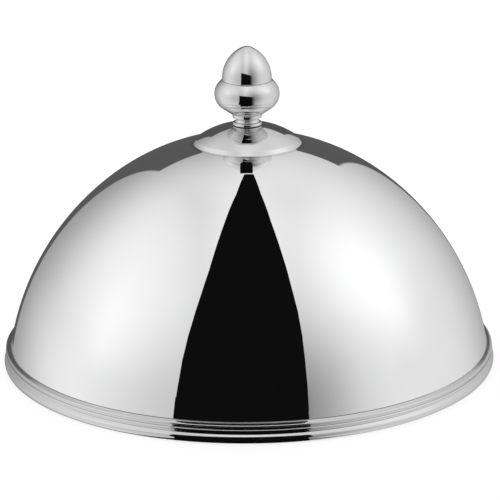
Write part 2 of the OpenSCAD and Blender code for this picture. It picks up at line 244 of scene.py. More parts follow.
class FastenerSizes(bpy.types.PropertyGroup):
    """Sizes of the screw, the nut, the washers and the gasket inside the dome."""

    thread_r: length("Thread radius", "Radius of the screw over its thread", 0.00293)
    thread_h: length("Thread depth", "Depth of the screw's thread", 0.00034)
    pitch: length("Pitch", "Pitch of the screw's thread", 0.001)
    screw_len: length("Screw length", "Length of the screw under its head", 0.018)
    screw_end: length("Screw end", "Length of the screw's tapered end", 0.0009)
    head_r: length("Head radius", "Radius of the screw's head", 0.0055)
    head_h: length("Head height", "Height of the screw's head", 0.0032)
    head_edge_r: length("Head edge", "Radius of the head's rounded edge", 0.0012)
    slot_w: length("Slot width", "Width of the head's crossed slots", 0.0012)
    slot_len: length("Slot length", "Length of the head's crossed slots", 0.006)
    slot_h: length("Slot depth", "Depth of the head's crossed slots", 0.0017)
    slot_edge: length("Slot edge", "Width of the bevel along the slots", 0.00012)
    nut_flats: length("Nut flats", "Width of the nut across its flats", 0.015)
    nut_h: length("Nut height", "Height of the nut", 0.004)
    nut_face: length("Nut face", "How far the nut's round face stays inside its flats", 0.0003)
    nut_slope: angle("Nut chamfer", "Slope of the nut's chamfered corners", 30)
    nut_bore_r: length("Nut bore", "Radius of the nut's bore", 0.00505)
    nut_lead: length("Nut lead", "Width of the chamfer round the nut's bore", 0.0004)
    lock_r: length("Lock washer", "Radius of the split lock washer", 0.0054)
    lock_h: length("Lock washer height", "Thickness of the split lock washer", 0.0015)
    lock_gap: length("Lock washer gap", "Width of the gap in the split lock washer", 0.001)
    lock_slant: angle("Lock washer slant", "Slant of the cut ends of the split lock washer", 20)
    backing_r: length("Backing washer", "Radius of the backing washer", 0.009)
    backing_h: length("Backing washer height", "Thickness of the backing washer", 0.0012)
    washer_bore_r: length("Washer bore", "Radius of the washers' bore", 0.0032)
    washer_edge_r: length("Washer edge", "Radius of the washers' rounded edges", 0.00022)
    inner_gasket_r: length("Inner gasket", "Radius of the gasket inside the dome", 0.0082)
    inner_gasket_h: length("Inner gasket height", "Thickness of the gasket inside the dome", 0.001)
    gasket_edge_r: length("Gasket edge", "Radius of the gaskets' rounded edges", 0.00015)


class FinishLooks(bpy.types.PropertyGroup):
    """Colours and gloss of the metals and the rubber."""

    steel: tint("Steel", "Colour of the polished steel", (0.9, 0.9, 0.905, 1.0))
    soft_steel: tint("Softer steel", "Colour of the knob's and the boss's polish", (0.73, 0.73, 0.735, 1.0))
    rim_steel: tint("Rim steel", "Colour of the rim's polish", (0.68, 0.68, 0.685, 1.0))
    # The crease colour is painted shade: it darkens the wall's rounded foot to a dark line.
    painted_crease_shade: tint("Crease steel", "Colour of the steel in the wall's crease", (0.22, 0.22, 0.225, 1.0))
    worn_steel: tint("Worn steel", "Colour of the steel where hands have dulled it", (0.86, 0.86, 0.86, 1.0))
    mirror_rough: factor("Mirror roughness", "Roughness of the mirror polish", 0.012)
    marked_rough: factor("Marked roughness", "Roughness along the polishing marks", 0.03)
    soft_rough: factor("Softer roughness", "Roughness of the knob's and the boss's polish", 0.045)
    soft_marked_rough: factor("Softer marks", "Roughness along the marks of the softer polish", 0.08)
    crease_rough: factor("Crease roughness", "Roughness of the steel in the wall's crease", 0.18)
    ledge_rough: factor("Ledge roughness", "Roughness of the ledge round the wall's foot", 0.15)
    rim_rough: factor("Rim roughness", "Roughness of the rim's polish", 0.06)
    rim_marked_rough: factor("Rim marks", "Roughness along the marks of the rim's polish", 0.09)
    satin_rough: factor("Satin roughness", "Roughness of the satin inside", 0.2)
    satin_marked_rough: factor("Satin marks", "Roughness along the marks of the satin inside", 0.36)
    wire: tint("Wire", "Colour of the drawn wire", (0.6, 0.6, 0.62, 1.0))
    fastener: tint("Fastener", "Colour of the plain fasteners", (0.66, 0.66, 0.67, 1.0))
    fastener_rough: factor("Fastener roughness", "Roughness of the plain fasteners", 0.24)
    fastener_marked_rough: factor("Fastener marks", "Roughness along the marks of the plain fasteners", 0.42)
    rubber: tint("Rubber", "Colour of the gaskets", (0.05, 0.05, 0.05, 1.0))
    rubber_rough: factor("Rubber roughness", "Roughness of the gaskets", 0.55)
    dusty_rough: factor("Dusty roughness", "Roughness of the gaskets where dust lies on them", 0.8)


class StudioLooks(bpy.types.PropertyGroup):
    """The camera, the soft panels round the cover and the dark gaps between them."""

    camera_back: length("Camera distance", "Distance of the camera in front of the axis", 1.5)
    camera_h: length("Camera height", "Height of the camera above the table", 0.53648)
    camera_pitch: angle("Camera pitch", "How far the camera looks down", 17.36)
    camera_roll: angle("Camera roll", "How far the camera is turned about its own line", -0.434)
    camera_yaw: angle("Camera yaw", "How far the camera is turned about the vertical", -0.0408)
    camera_lens: factor("Lens", "Focal length in millimetres on a 36 mm sensor", 185.9)
    left_edge: factor("Left panel edge", "Brightness at the left panel's outer end", 0.925)
    left_seam: factor("Left seam", "Loss of brightness at the seam next to the middle panel", 0.07)
    left_front: factor("Left panel front", "Loss of brightness towards the camera", 0.22)
    left_front_power: factor("Left front power", "How narrow the left panel's loss to the camera is", 1.5)
    left_back: factor("Left panel back", "Loss of brightness towards the back", 0.373)
    left_back_power: factor("Left back power", "How narrow the left panel's loss to the back is", 2.0)
    left_back_start: angle("Left back start", "Angle over the top where the loss to the back begins", 105)
    left_back_end: angle("Left back end", "Angle over the top where the loss to the back is full", 175)
    left_glow: factor("Left glow", "Gain of brightness at the left lamp", 0.08)
    left_glow_side: angle("Left glow side", "Angle to the side of the left lamp", -65)
    left_glow_over: angle("Left glow over", "Angle over the top of the left lamp", 66)
    left_glow_wide: angle("Left glow width", "Spread of the left lamp's light to the sides", 25)
    left_glow_deep: angle("Left glow depth", "Spread of the left lamp's light over the top", 40)
    right_edge: factor("Right panel edge", "Brightness at the right panel's outer end", 0.894)
    right_seam: factor("Right seam", "Loss of brightness at the seam next to the middle panel", 0.03)
    right_front: factor("Right panel front", "Loss of brightness towards the camera", 0.62)
    right_front_power: factor("Right front power", "How narrow the right panel's loss to the camera is", 3.8)
    right_back: factor("Right panel back", "Loss of brightness towards the back", 0.267)
    right_back_power: factor("Right back power", "How narrow the right panel's loss to the back is", 3.0)
    right_back_start: angle("Right back start", "Angle over the top where the loss to the back begins", 115)
    right_back_end: angle("Right back end", "Angle over the top where the loss to the back is full", 195)
    right_glow: factor("Right glow", "Gain of brightness at the right lamp", 0.137)
    right_glow_side: angle("Right glow side", "Angle to the side of the right lamp", 52)
    right_glow_over: angle("Right glow over", "Angle over the top of the right lamp", 84)
    right_glow_wide: angle("Right glow width", "Spread of the right lamp's light to the sides", 28)
    right_glow_deep: angle("Right glow depth", "Spread of the right lamp's light over the top", 38)
    front_reach: angle("Front reach", "How far the loss towards the camera reaches over the top", 40)
    relief_share: factor("Middle relief", "Share of the loss to the camera that the middle takes away", 0.65)
    relief_wide: angle("Relief width", "Spread of the middle panel's relief to the sides", 24)
    slit_left: angle("Slit left", "Left edge of the dark slit in front", -27)
    slit_right: angle("Slit right", "Right edge of the dark slit in front, where it begins to fade", 14)
    slit_fade: angle("Slit fade", "Width of the fading right edge of the slit", 16)
    seam_side: angle("Seam side", "Angle to the side of the seams next to the middle panel", 18)
    seam_wide: angle("Seam width", "Spread of the seams' shade", 10)
    seam_full: angle("Seam full", "Angle over the top up to which the seams' shade is full", 105)
    seam_end: angle("Seam end", "Angle over the top at which the seams' shade ends", 140)
    slit_top: angle("Slit top", "Upper end of the dark slit in front", 18)
    slit_tilt: factor("Slit tilt", "Fall of the slit's upper end from left to right", -0.2)
    middle_gain: factor("Middle gain", "Gain of brightness of the middle panel", 0.07)
    middle_wide: angle("Middle width", "Spread of the middle panel's light to the sides", 20)
    middle_start: angle("Middle start", "Angle over the top at which the middle panel's light begins", 15)
    middle_full: angle("Middle full", "Angle over the top at which the middle panel's light is full", 70)
    middle_end: angle("Middle end", "Angle over the top at which the middle panel's light ends", 112)
    edge_blur: angle("Edge blur", "Half the blur of the panels' edges", 0.5)
    rear_start: angle("Rear gap start", "Angle over the top at which the rear gap begins", 150.2)
    rear_tilt: factor("Rear gap tilt", "Rise of the rear gap's upper edge from left to right", 0.15)
    rear_left: angle("Rear gap left", "Left edge of the rear gap", -20.8)
    rear_right: angle("Rear gap right", "Right edge of the rear gap at its upper end", 20)
    rear_taper: factor("Rear gap taper", "How fast the gap's right edge draws in towards the table", 0.21)
    below_back: angle("Below the back", "Angle over the top where the loss to the back begins to end", 205)
    wrap_low: angle("Lowest angle", "Angle over the top, below the camera, at which the panels begin", -100)
    rear_grey: factor("Rear gap grey", "Brightness of the rear gap", 0.1)
    black: factor("Black", "Brightness of the black cloth", 0.0045)
    panel_gain: factor("Panel gain", "Brightness of all the panels", 1.1)
    room_light: factor("Room light", "Even light on matt surfaces", 0.9)
    floor: tint("Floor", "Colour of the table", (0.4, 0.4, 0.4, 1.0))


def cover_levels(scene):
    """The places that follow from the sizes."""
    rim, dome, knob = scene.cover_rim, scene.cover_dome, scene.cover_knob
    at = SimpleNamespace()
    at.wall_r = rim.rim_r - rim.wall_inset
    at.bead_x = rim.rim_r - rim.bead_r
    at.bead_z = rim.bead_r - rim.bead_flat
    at.ledge_z = rim.band_h - dome.sheet_t
    at.upper_x = rim.rim_r - rim.upper_bead_inset - rim.upper_bead_r
    at.upper_z = rim.band_h - rim.ledge_fall - rim.upper_bead_r
    at.fascia_r = rim.rim_r - rim.fascia_inset
    at.lower_x = rim.rim_r - rim.lower_bead_inset - rim.lower_bead_r
    at.lower_z = rim.lower_bead_h
    at.flange_r = rim.rim_r - rim.flange_inset
    at.flange_end = QUARTER - rim.flange_slope
    at.flange_end_x = at.bead_x + rim.bead_r * math.cos(at.flange_end)
    at.flange_end_z = at.bead_z + rim.bead_r * math.sin(at.flange_end)
    at.flange_z = at.flange_end_z + (at.flange_end_x - at.flange_r) * math.tan(rim.flange_slope)
    at.band_inner_r = at.fascia_r - dome.sheet_t
    ledge_share = (at.band_inner_r - at.wall_r) / (at.upper_x - at.wall_r)
    at.ledge_in_z = at.ledge_z - rim.ledge_fall * ledge_share
    at.join = QUARTER - dome.join_angle
    at.side_x = -(dome.side_r - dome.crown_r) * math.cos(at.join)
    at.side_z = rim.band_h - math.sqrt(dome.side_r**2 - (at.wall_r - at.side_x)**2)
    at.wall_start_z = rim.band_h + rim.upper_bead_r
    at.crown_z = at.side_z + (dome.side_r - dome.crown_r) * math.sin(at.join)
    at.boss_z = at.crown_z + math.sqrt(dome.crown_r**2 - dome.boss_r**2)
    at.boss_edge_x = dome.boss_r - dome.boss_edge_r
    at.boss_edge_z = at.boss_z + dome.boss_side_h
    at.cap_z = at.boss_edge_z - math.sqrt((dome.boss_cap_r - dome.boss_edge_r)**2 - at.boss_edge_x**2)
    at.cap_end = math.atan2(at.boss_edge_z - at.cap_z, at.boss_edge_x)
    at.lean_start = at.cap_end + dome.boss_roll
    edge_reach = dome.boss_cap_r - dome.boss_edge_r
    at.lean_edge = (edge_reach * math.cos(at.lean_start), at.cap_z + edge_reach * math.sin(at.lean_start))
    lean_x = at.lean_edge[0] + dome.boss_edge_r * math.cos(dome.boss_lean)
    lean_z = at.lean_edge[1] + dome.boss_edge_r * math.sin(dome.boss_lean)
    down = Vector((math.sin(dome.boss_lean), -math.cos(dome.boss_lean)))
    inward = Vector((lean_x, lean_z - at.crown_z))
    slant = down.dot(inward)
    run = -slant - math.sqrt(slant**2 - inward.length_squared + dome.crown_r**2)
    at.boss_foot = (lean_x + down.x * run, lean_z + down.y * run)
    at.crown_x = at.boss_foot[0] + dome.boss_crease_w
    at.seat_z = at.cap_z + math.sqrt(dome.boss_cap_r**2 - dome.seat_r**2)
    at.foot_z = at.seat_z + knob.gasket_h
    at.neck_z = at.foot_z + knob.foot_h
    at.collar_z = at.neck_z + knob.neck_h
    at.cup_z = at.collar_z + knob.collar_h
    at.cup_x = knob.cup_r - knob.cup_arc_r
    at.cup_wide_z = at.cup_z + knob.cup_wide_h
    at.seam_z = at.cup_wide_z + knob.seam_rise
    at.acorn_x = knob.acorn_r - knob.acorn_arc_r
    at.acorn_z = at.seam_z + knob.acorn_edge_r
    at.tip_z = TOP_Z - knob.acorn_tip_r
    at.tip_join = math.atan2(at.tip_z - at.acorn_z, -at.acorn_x)
    reach = math.hypot(at.cup_x - knob.cup_floor_r, knob.cup_wide_h)
    lean = math.atan2(knob.cup_wide_h, at.cup_x - knob.cup_floor_r)
    at.cup_cone = lean - math.asin(knob.cup_arc_r / reach)
    fasteners = scene.cover_fasteners
    at.inner_gasket_z = at.seat_z - dome.sheet_t - fasteners.inner_gasket_h
    at.backing_z = at.inner_gasket_z - fasteners.backing_h
    at.lock_z = at.backing_z - fasteners.lock_h
    at.head_z = at.lock_z - fasteners.head_h
    at.nut_z = at.cup_z + knob.shell_t
    return at


def on_arc(centre, radius, turn):
    """The point of an arc at an angle."""
    return (centre[0] + radius * math.cos(turn), centre[1] + radius * math.sin(turn))


def arc(centre, radius, start, end, step=SMALL_STEP):
    """Points along an arc, both ends among them."""
    count = max(LEAST_STEPS, math.ceil(abs(end - start) / step))
    return [on_arc(centre, radius, start + (end - start) * number / count) for number in range(count + 1)]


def rounded(corners):
    """An open line through corners (r, z, rounding), with an arc at each corner that is rounded."""
    line = [corners[0][:2]]
    for before, corner, after in zip(corners, corners[1:], corners[2:]):
        here = Vector(corner[:2])
        back = Vector(before[:2]) - here
        ahead = Vector(after[:2]) - here
        opening = back.angle(ahead)
        if corner[2] <= 0.0 or opening > math.pi - FINE_STEP:
            line.append(corner[:2])
            continue
        room = min(back.length, ahead.length) * TRIM_SHARE
        trim = min(corner[2] / math.tan(opening / 2), room)
        radius = trim * math.tan(opening / 2)
        middle = (back.normalized() + ahead.normalized()).normalized()
        centre = here + middle * (radius / math.sin(opening / 2))
        first = here + back.normalized() * trim - centre
        turn = first.angle_signed(here + ahead.normalized() * trim - centre)
        start = math.atan2(first.y, first.x)
        line += arc(centre, radius, start, start - turn, CORNER_STEP)
    line.append(corners[-1][:2])
    return line


def held(points):
    """The same line with a point close to each end of its long straight stretches, which keeps them flat."""
    line = [points[0]]
    for before, after in zip(points, points[1:]):
        start, end = Vector(before), Vector(after)
        reach = (end - start).length
        if reach > HOLD_STRETCH:
            along = (end - start) / reach * HOLD
            line += [tuple(start + along), tuple(end - along)]
        if reach > 0.0:
            line.append(after)
    return line


def apart(first, second):
    """Whether two points of a line lie far enough apart to keep both."""
    return (Vector(first) - Vector(second)).length > SAME_POINT


def joined(*runs):
    """One line from runs that follow each other, without doubled points."""
    line = []
    for run in runs:
        for point in run:
            if not line or apart(point, line[-1]):
                line.append(tuple(point))
    return line


def spun(radius, spin, height):
    """The point at a radius, an angle about the axis and a height."""
    return (radius * math.cos(spin), radius * math.sin(spin), height)


def new_object(name, vertices, faces, *materials):
    """A new object from its points, its faces and its materials."""
    mesh = bpy.data.meshes.new(name)
    mesh.from_pydata(vertices, [], faces)
    for material in materials:
        mesh.materials.append(material)
    made = bpy.data.objects.new(name, mesh)
    bpy.context.scene.collection.objects.link(made)
    return made


def smooth(piece, sharp_angle):
    """Shades a piece smooth between its sharp edges."""
    mesh = piece.data
    mesh.polygons.foreach_set("use_smooth", [True] * len(mesh.polygons))
    mesh.update()
    mesh.set_sharp_from_angle(angle=sharp_angle)
    return piece


def turned(name, runs, turns, materials):
    """A piece turned about the axis from the closed section that the runs make, one finish for each run."""
    section, finish = [], []
    for number, run in enumerate(runs):
        for point in run:
            if not section or apart(point, section[-1]):
                section.append(tuple(point))
                finish.append(number)
    if not apart(section[0], section[-1]):
        section.pop()
        finish.pop()
    rings, vertices = [], []
    for radius, height in section:
        start = len(vertices)
        if radius < SAME_POINT:
            rings.append([start] * turns)
            vertices.append((0.0, 0.0, height))
            continue
        rings.append(list(range(start, start + turns)))
        vertices += [spun(radius, FULL_TURN * turn / turns, height) for turn in range(turns)]
    faces, slots = [], []
    for number, ring in enumerate(rings):
        after = (number + 1) % len(rings)
        other = rings[after]
        if ring[0] == ring[1] and other[0] == other[1]:
            continue
        for turn in range(turns):
            ahead = (turn + 1) % turns
            corners = [ring[turn], ring[ahead], other[ahead], other[turn]]
            faces.append(list(dict.fromkeys(corners)))
            slots.append(finish[after])
    piece = new_object(name, vertices, faces, *materials)
    piece.data.polygons.foreach_set("material_index", slots)
    return smooth(piece, SHARP_ANGLE)


def placed(piece, body, node):
    """Makes a piece ride on its body and stand for its solid, whose part it hides."""
    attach(piece, body)
    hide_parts(node)


class Wiring:
    """A short way to place and join shader nodes."""

    def __init__(self, tree):
        self.tree = tree

    def node(self, kind, *values, **settings):
        """A new node with its settings, and with values for its first sockets."""
        made = self.tree.nodes.new(kind)
        for key, value in settings.items():
            setattr(made, key, value)
        for socket, value in zip(made.inputs, values):
            self.feed(socket, value)
        return made

    def feed(self, socket, value):
        """Joins a socket to another, or sets its value."""
        if isinstance(value, bpy.types.NodeSocket):
            self.tree.links.new(value, socket)
        else:
            socket.default_value = value

    def math(self, operation, *values):
        """A sum on one, two or three values."""
        return self.node("ShaderNodeMath", *values, operation=operation).outputs[0]

    def plus(self, first, second):
        """The sum of two values."""
        return self.math("ADD", first, second)

    def less(self, first, second):
        """The first value less the second."""
        return self.math("SUBTRACT", first, second)

    def times(self, first, *others):
        """The product of all the values."""
        for other in others:
            first = self.math("MULTIPLY", first, other)
        return first

    def ramp(self, value, low, high):
        """A smooth step from nothing at one value to one at another."""
        return self.node("ShaderNodeMapRange", value, low, high, interpolation_type="SMOOTHSTEP").outputs[0]

    def mix(self, kind, sockets, *values):
        """Two values of one kind, mixed by a share."""
        made = self.node("ShaderNodeMix", data_type=kind)
        for socket, value in zip(sockets, values):
            self.feed(made.inputs[socket], value)
        return made.outputs[sockets[-1]]

    def blend(self, share, first, second):
        """A mix of two numbers."""
        return self.mix("FLOAT", NUMBER_MIX, share, first, second)

    def tinted(self, share, first, second):
        """A mix of two colours."""
        return self.mix("RGBA", COLOUR_MIX, share, first, second)

    def place(self, kind):
        """The place on the object, or the direction in the world."""
        return self.node("ShaderNodeTexCoord").outputs[kind]

    def parts(self, vector):
        """The three parts of a vector."""
        return self.node("ShaderNodeSeparateXYZ", vector).outputs

    def noise(self, vector, scale, detail):
        """Noise from nothing to one."""
        made = self.node("ShaderNodeTexNoise")
        for label, value in (("Vector", vector), ("Scale", scale), ("Detail", detail)):
            self.feed(made.inputs[label], value)
        return made.outputs["Fac"]

    def relief(self, shader, height, strength, depth):
        """Fine relief in a shader's normal."""
        made = self.node("ShaderNodeBump")
        for label, value in (("Strength", strength), ("Distance", depth), ("Height", height)):
            self.feed(made.inputs[label], value)
        self.feed(shader.inputs["Normal"], made.outputs["Normal"])


def new_group(name, inputs, outputs):
    """An empty node group with named float sockets."""
    group = bpy.data.node_groups.new(name, "ShaderNodeTree")
    for label, default in inputs:
        socket = group.interface.new_socket(name=label, in_out="INPUT", socket_type="NodeSocketFloat")
        socket.default_value = default
    for label in outputs:
        group.interface.new_socket(name=label, in_out="OUTPUT", socket_type="NodeSocketFloat")
    wiring = Wiring(group)
    entry = wiring.node("NodeGroupInput")
    leave = wiring.node("NodeGroupOutput")
    return group, wiring, entry, leave


def polishing_group():
    """Fine rings that a polishing wheel leaves round a turned piece, broken up along their length."""
    name = "Polishing rings"
    if name in bpy.data.node_groups:
        return bpy.data.node_groups[name]
    sockets = [("Rings", DOME_RINGS), ("Breaks", RING_BREAKS)]
    group, wiring, entry, leave = new_group(name, sockets, ["Marks", "Height"])
    place = wiring.place("Object")
    across, deep, up = wiring.parts(place)
    radius = wiring.math("SQRT", wiring.plus(wiring.times(across, across), wiring.times(deep, deep)))
    spin = wiring.math("ARCTAN2", deep, across)
    rings = wiring.node(
        "ShaderNodeCombineXYZ",
        wiring.times(radius, entry.outputs["Rings"]),
        wiring.times(wiring.math("SINE", spin), entry.outputs["Breaks"]),
        wiring.times(up, entry.outputs["Rings"]),
    )
    lines = wiring.noise(rings.outputs[0], RING_SCALE, MIDDLE_DETAIL)
    patches = wiring.noise(place, PATCH_SCALE, LOW_DETAIL)
    marks = wiring.times(wiring.ramp(lines, *RING_LIMITS), wiring.ramp(patches, *PATCH_LIMITS))
    wiring.feed(leave.inputs["Marks"], marks)
    wiring.feed(leave.inputs["Height"], lines)
    return group


def handling_group():
    """Faint haze and fine stray scratches from wiping and stacking."""
    name = "Handling haze"
    if name in bpy.data.node_groups:
        return bpy.data.node_groups[name]
    sockets = [("Haze size", HAZE_SCALE), ("Scratch size", SCRATCH_SCALE)]
    group, wiring, entry, leave = new_group(name, sockets, ["Haze", "Scratches"])
    place = wiring.place("Object")
    haze = wiring.noise(place, entry.outputs["Haze size"], HIGH_DETAIL)
    wiring.feed(leave.inputs["Haze"], wiring.ramp(haze, *HAZE_LIMITS))
    stretch = wiring.node("ShaderNodeMapping", place)
    stretch.inputs["Rotation"].default_value = SCRATCH_TURN
    stretch.inputs["Scale"].default_value = SCRATCH_STRETCH
    lines = wiring.noise(stretch.outputs[0], entry.outputs["Scratch size"], LOW_DETAIL)
    wiring.feed(leave.inputs["Scratches"], wiring.ramp(lines, *SCRATCH_LIMITS))
    return group


def edge_group():
    """A mask of the raised edges, where handling has worn the finish."""
    name = "Edge wear"
    if name in bpy.data.node_groups:
        return bpy.data.node_groups[name]
    group, wiring, entry, leave = new_group(name, [("Start", EDGE_START), ("Full", EDGE_FULL)], ["Wear"])
    bend = wiring.node("ShaderNodeNewGeometry").outputs["Pointiness"]
    broken = wiring.ramp(wiring.noise(wiring.place("Object"), EDGE_SCALE, MIDDLE_DETAIL), *EDGE_LIMITS)
    wear = wiring.ramp(bend, entry.outputs["Start"], entry.outputs["Full"])
    wiring.feed(leave.inputs["Wear"], wiring.times(wear, broken))
    return group


def placed_group(wiring, group, **values):
    """A node group placed in a material with its own values."""
    made = wiring.node("ShaderNodeGroup", node_tree=group)
    for label, value in values.items():
        made.inputs[label.replace("_", " ").capitalize()].default_value = value
    return made


def new_material(name):
    """A new material with its wiring and its Principled shader."""
    material = bpy.data.materials.new(name)
    material.use_nodes = True
    return material, Wiring(material.node_tree), material.node_tree.nodes["Principled BSDF"]


def shade(colour, share):
    """The same colour, made darker or brighter."""
    return [min(1.0, channel * share) for channel in colour[:3]] + [1.0]


def steel_material(name, colour, worn, rough, marked_rough, rings=SOFT_RINGS, relief=POLISH_RELIEF):
    """Stainless steel with polishing rings, haze and worn edges, from a mirror to satin."""
    if name in bpy.data.materials:
        return bpy.data.materials[name]
    material, wiring, shader = new_material(name)
    polish = placed_group(wiring, polishing_group(), rings=rings)
    handling = placed_group(wiring, handling_group())
    edges = placed_group(wiring, edge_group())
    dulled = wiring.math("MAXIMUM", handling.outputs["Haze"], edges.outputs["Wear"])
    wiring.feed(shader.inputs["Base Color"], wiring.tinted(dulled, colour, worn))
    marks = wiring.math("MAXIMUM", polish.outputs["Marks"], handling.outputs["Scratches"])
    marks = wiring.math("MAXIMUM", marks, wiring.times(edges.outputs["Wear"], WEAR_SHARE))
    wiring.feed(shader.inputs["Roughness"], wiring.blend(marks, rough, marked_rough))
    shader.inputs["Metallic"].default_value = 1.0
    wiring.relief(shader, polish.outputs["Height"], relief, POLISH_DEPTH)
    return material


def rim_steel(looks):
    """The polish of the rim, which is cut less bright than the dome's."""
    return steel_material("Rim steel", looks.rim_steel, shade(looks.rim_steel, WORN_SHARE),
                          looks.rim_rough, looks.rim_marked_rough)


def ledge_steel(looks):
    """The ledge round the wall's foot, where the polishing wheel hardly reaches."""
    return steel_material("Ledge steel", looks.rim_steel, shade(looks.rim_steel, WORN_SHARE),
                          looks.ledge_rough, looks.satin_rough)


def painted_crease_shade(looks):
    """The steel at the wall's foot, with a painted shade that darkens its rounded crease."""
    return steel_material("Crease steel", looks.painted_crease_shade, looks.rim_steel,
                          looks.crease_rough, looks.satin_marked_rough)


def mirror_steel(looks):
    """The mirror polish of the dome."""
    return steel_material("Mirror polished steel", looks.steel, looks.worn_steel,
                          looks.mirror_rough, looks.marked_rough, DOME_RINGS)


def soft_steel(looks):
    """The softer polish of the knob and the boss."""
    return steel_material("Softer polished steel", looks.soft_steel, shade(looks.soft_steel, WORN_SHARE),
                          looks.soft_rough, looks.soft_marked_rough)


def satin_steel(looks):
    """The satin finish of the inside."""
    return steel_material("Satin steel inside", looks.steel, looks.worn_steel,
                          looks.satin_rough, looks.satin_marked_rough, SATIN_RINGS, SATIN_RELIEF)


def fastener_steel(looks, name, colour):
    """Plain drawn or turned steel with fine marks, for the wire and the fasteners."""
    if name in bpy.data.materials:
        return bpy.data.materials[name]
    material, wiring, shader = new_material(name)
    polish = placed_group(wiring, polishing_group(), rings=FASTENER_RINGS)
    edges = placed_group(wiring, edge_group())
    worn = wiring.tinted(edges.outputs["Wear"], colour, shade(colour, BRIGHT_SHARE))
    wiring.feed(shader.inputs["Base Color"], worn)
    rough = wiring.blend(polish.outputs["Marks"], looks.fastener_rough, looks.fastener_marked_rough)
    wiring.feed(shader.inputs["Roughness"], rough)
    shader.inputs["Metallic"].default_value = 1.0
    wiring.relief(shader, polish.outputs["Height"], FASTENER_RELIEF, FASTENER_DEPTH)
    return material


def gasket_rubber(looks):
    """Matt black rubber with a moulded grain and a little dust."""
    name = "Gasket rubber"
    if name in bpy.data.materials:
        return bpy.data.materials[name]
    material, wiring, shader = new_material(name)
    haze = placed_group(wiring, handling_group(), haze_size=DUST_SCALE).outputs["Haze"]
    dusty = [channel + DUST_PALE for channel in looks.rubber[:3]] + [1.0]
    wiring.feed(shader.inputs["Base Color"], wiring.tinted(haze, looks.rubber, dusty))
    wiring.feed(shader.inputs["Roughness"], wiring.blend(haze, looks.rubber_rough, looks.dusty_rough))
    grain = wiring.noise(wiring.place("Object"), GRAIN_SCALE, MIDDLE_DETAIL)
    wiring.relief(shader, grain, GRAIN_RELIEF, GRAIN_DEPTH)
    return material


def boss_outside(dome, at):
    """The outside of the boss's section, from the hole at the seat to its crease."""
    cap_start = math.acos(dome.seat_r / dome.boss_cap_r)
    crown_start = at.crown_z + math.sqrt(dome.crown_r**2 - at.crown_x**2)
    edge = arc(at.lean_edge, dome.boss_edge_r, at.lean_start, dome.boss_lean, FINE_STEP)
    return joined(
        held([(dome.hole_r, at.seat_z), (dome.seat_r, at.seat_z)]),
        arc((0.0, at.cap_z), dome.boss_cap_r, cap_start, at.lean_start, LARGE_STEP),
        edge,
        rounded([(*edge[-1], 0.0), (*at.boss_foot, dome.boss_crease_r), (at.crown_x, crown_start, 0.0)]),
    )


def ledge_line(rim, at):
    """The rounded ledge, from the wall's foot to the upper bead."""
    end = QUARTER - rim.ledge_slope
    facing = Vector((math.cos(end), math.sin(end)))
    foot = Vector((at.wall_r, rim.band_h))
    point = Vector((at.upper_x, at.upper_z)) + facing * rim.upper_bead_r
    chord = point - foot
    half = rim.ledge_slope - math.atan2(-chord.y, chord.x)
    radius = chord.length / 2 / math.sin(half)
    return arc(point - facing * radius, radius, end + half * 2, end, FINE_STEP)


def crease_line(rim, dome, at):
    """The wall's foot, from the wall over its rounded crease to the ledge."""
    wall_start_x = at.side_x + math.sqrt(dome.side_r**2 - (at.wall_start_z - at.side_z)**2)
    return rounded([
        (wall_start_x, at.wall_start_z, 0.0),
        (at.wall_r, rim.band_h, dome.wall_crease_r),
        (*ledge_line(rim, at)[CREASE_POINTS], 0.0),
    ])


def dome_outside(rim, dome, at):
    """The outside of the dome's section, from the boss down to the wall's foot."""
    crown_start = math.acos(at.crown_x / dome.crown_r)
    side_end = math.asin((at.wall_start_z - at.side_z) / dome.side_r)
    return joined(
        arc((0.0, at.crown_z), dome.crown_r, crown_start, at.join, LARGE_STEP),
        arc((at.side_x, at.side_z), dome.side_r, at.join, side_end, LARGE_STEP),
        crease_line(rim, dome, at)[:2],
    )


def ledge_outside(rim, dome, at):
    """The outside of the ledge, from the crease to the upper bead."""
    return joined(crease_line(rim, dome, at)[-2:], ledge_line(rim, at)[CREASE_POINTS:])


def rim_outside(rim, at):
    """The outside of the rim's section, from the upper bead down to the bead's flat."""
    upper, lower = (at.upper_x, at.upper_z), (at.lower_x, at.lower_z)
    upper_end = -math.acos((at.fascia_r - at.upper_x) / rim.upper_bead_r)
    lower_start = math.acos((at.fascia_r - at.lower_x) / rim.lower_bead_r)
    lower_end = -math.acos((at.flange_r - at.lower_x) / rim.lower_bead_r)
    upper_foot = at.upper_z + rim.upper_bead_r * math.sin(upper_end)
    lower_head = at.lower_z + rim.lower_bead_r * math.sin(lower_start)
    lower_foot = at.lower_z + rim.lower_bead_r * math.sin(lower_end)
    upper_stop, lower_stop = upper_end + SMALL_STEP, lower_end + SMALL_STEP
    lower_go = lower_start - SMALL_STEP
    flat_start = -math.asin(at.bead_z / rim.bead_r)
    return joined(
        arc(upper, rim.upper_bead_r, QUARTER - rim.ledge_slope, upper_stop),
        held(rounded([
            (*on_arc(upper, rim.upper_bead_r, upper_stop), 0.0),
            (at.fascia_r, upper_foot, rim.crease_r),
            (at.fascia_r, lower_head, rim.crease_r),
            (*on_arc(lower, rim.lower_bead_r, lower_go), 0.0),
        ])),
        arc(lower, rim.lower_bead_r, lower_go, lower_stop),
        held(rounded([
            (*on_arc(lower, rim.lower_bead_r, lower_stop), 0.0),
            (at.flange_r, lower_foot, rim.crease_r),
            (at.flange_r, at.flange_z, rim.crease_r),
            (at.flange_end_x, at.flange_end_z, 0.0),
        ])),
        arc((at.bead_x, at.bead_z), rim.bead_r, at.flange_end, flat_start),
    )


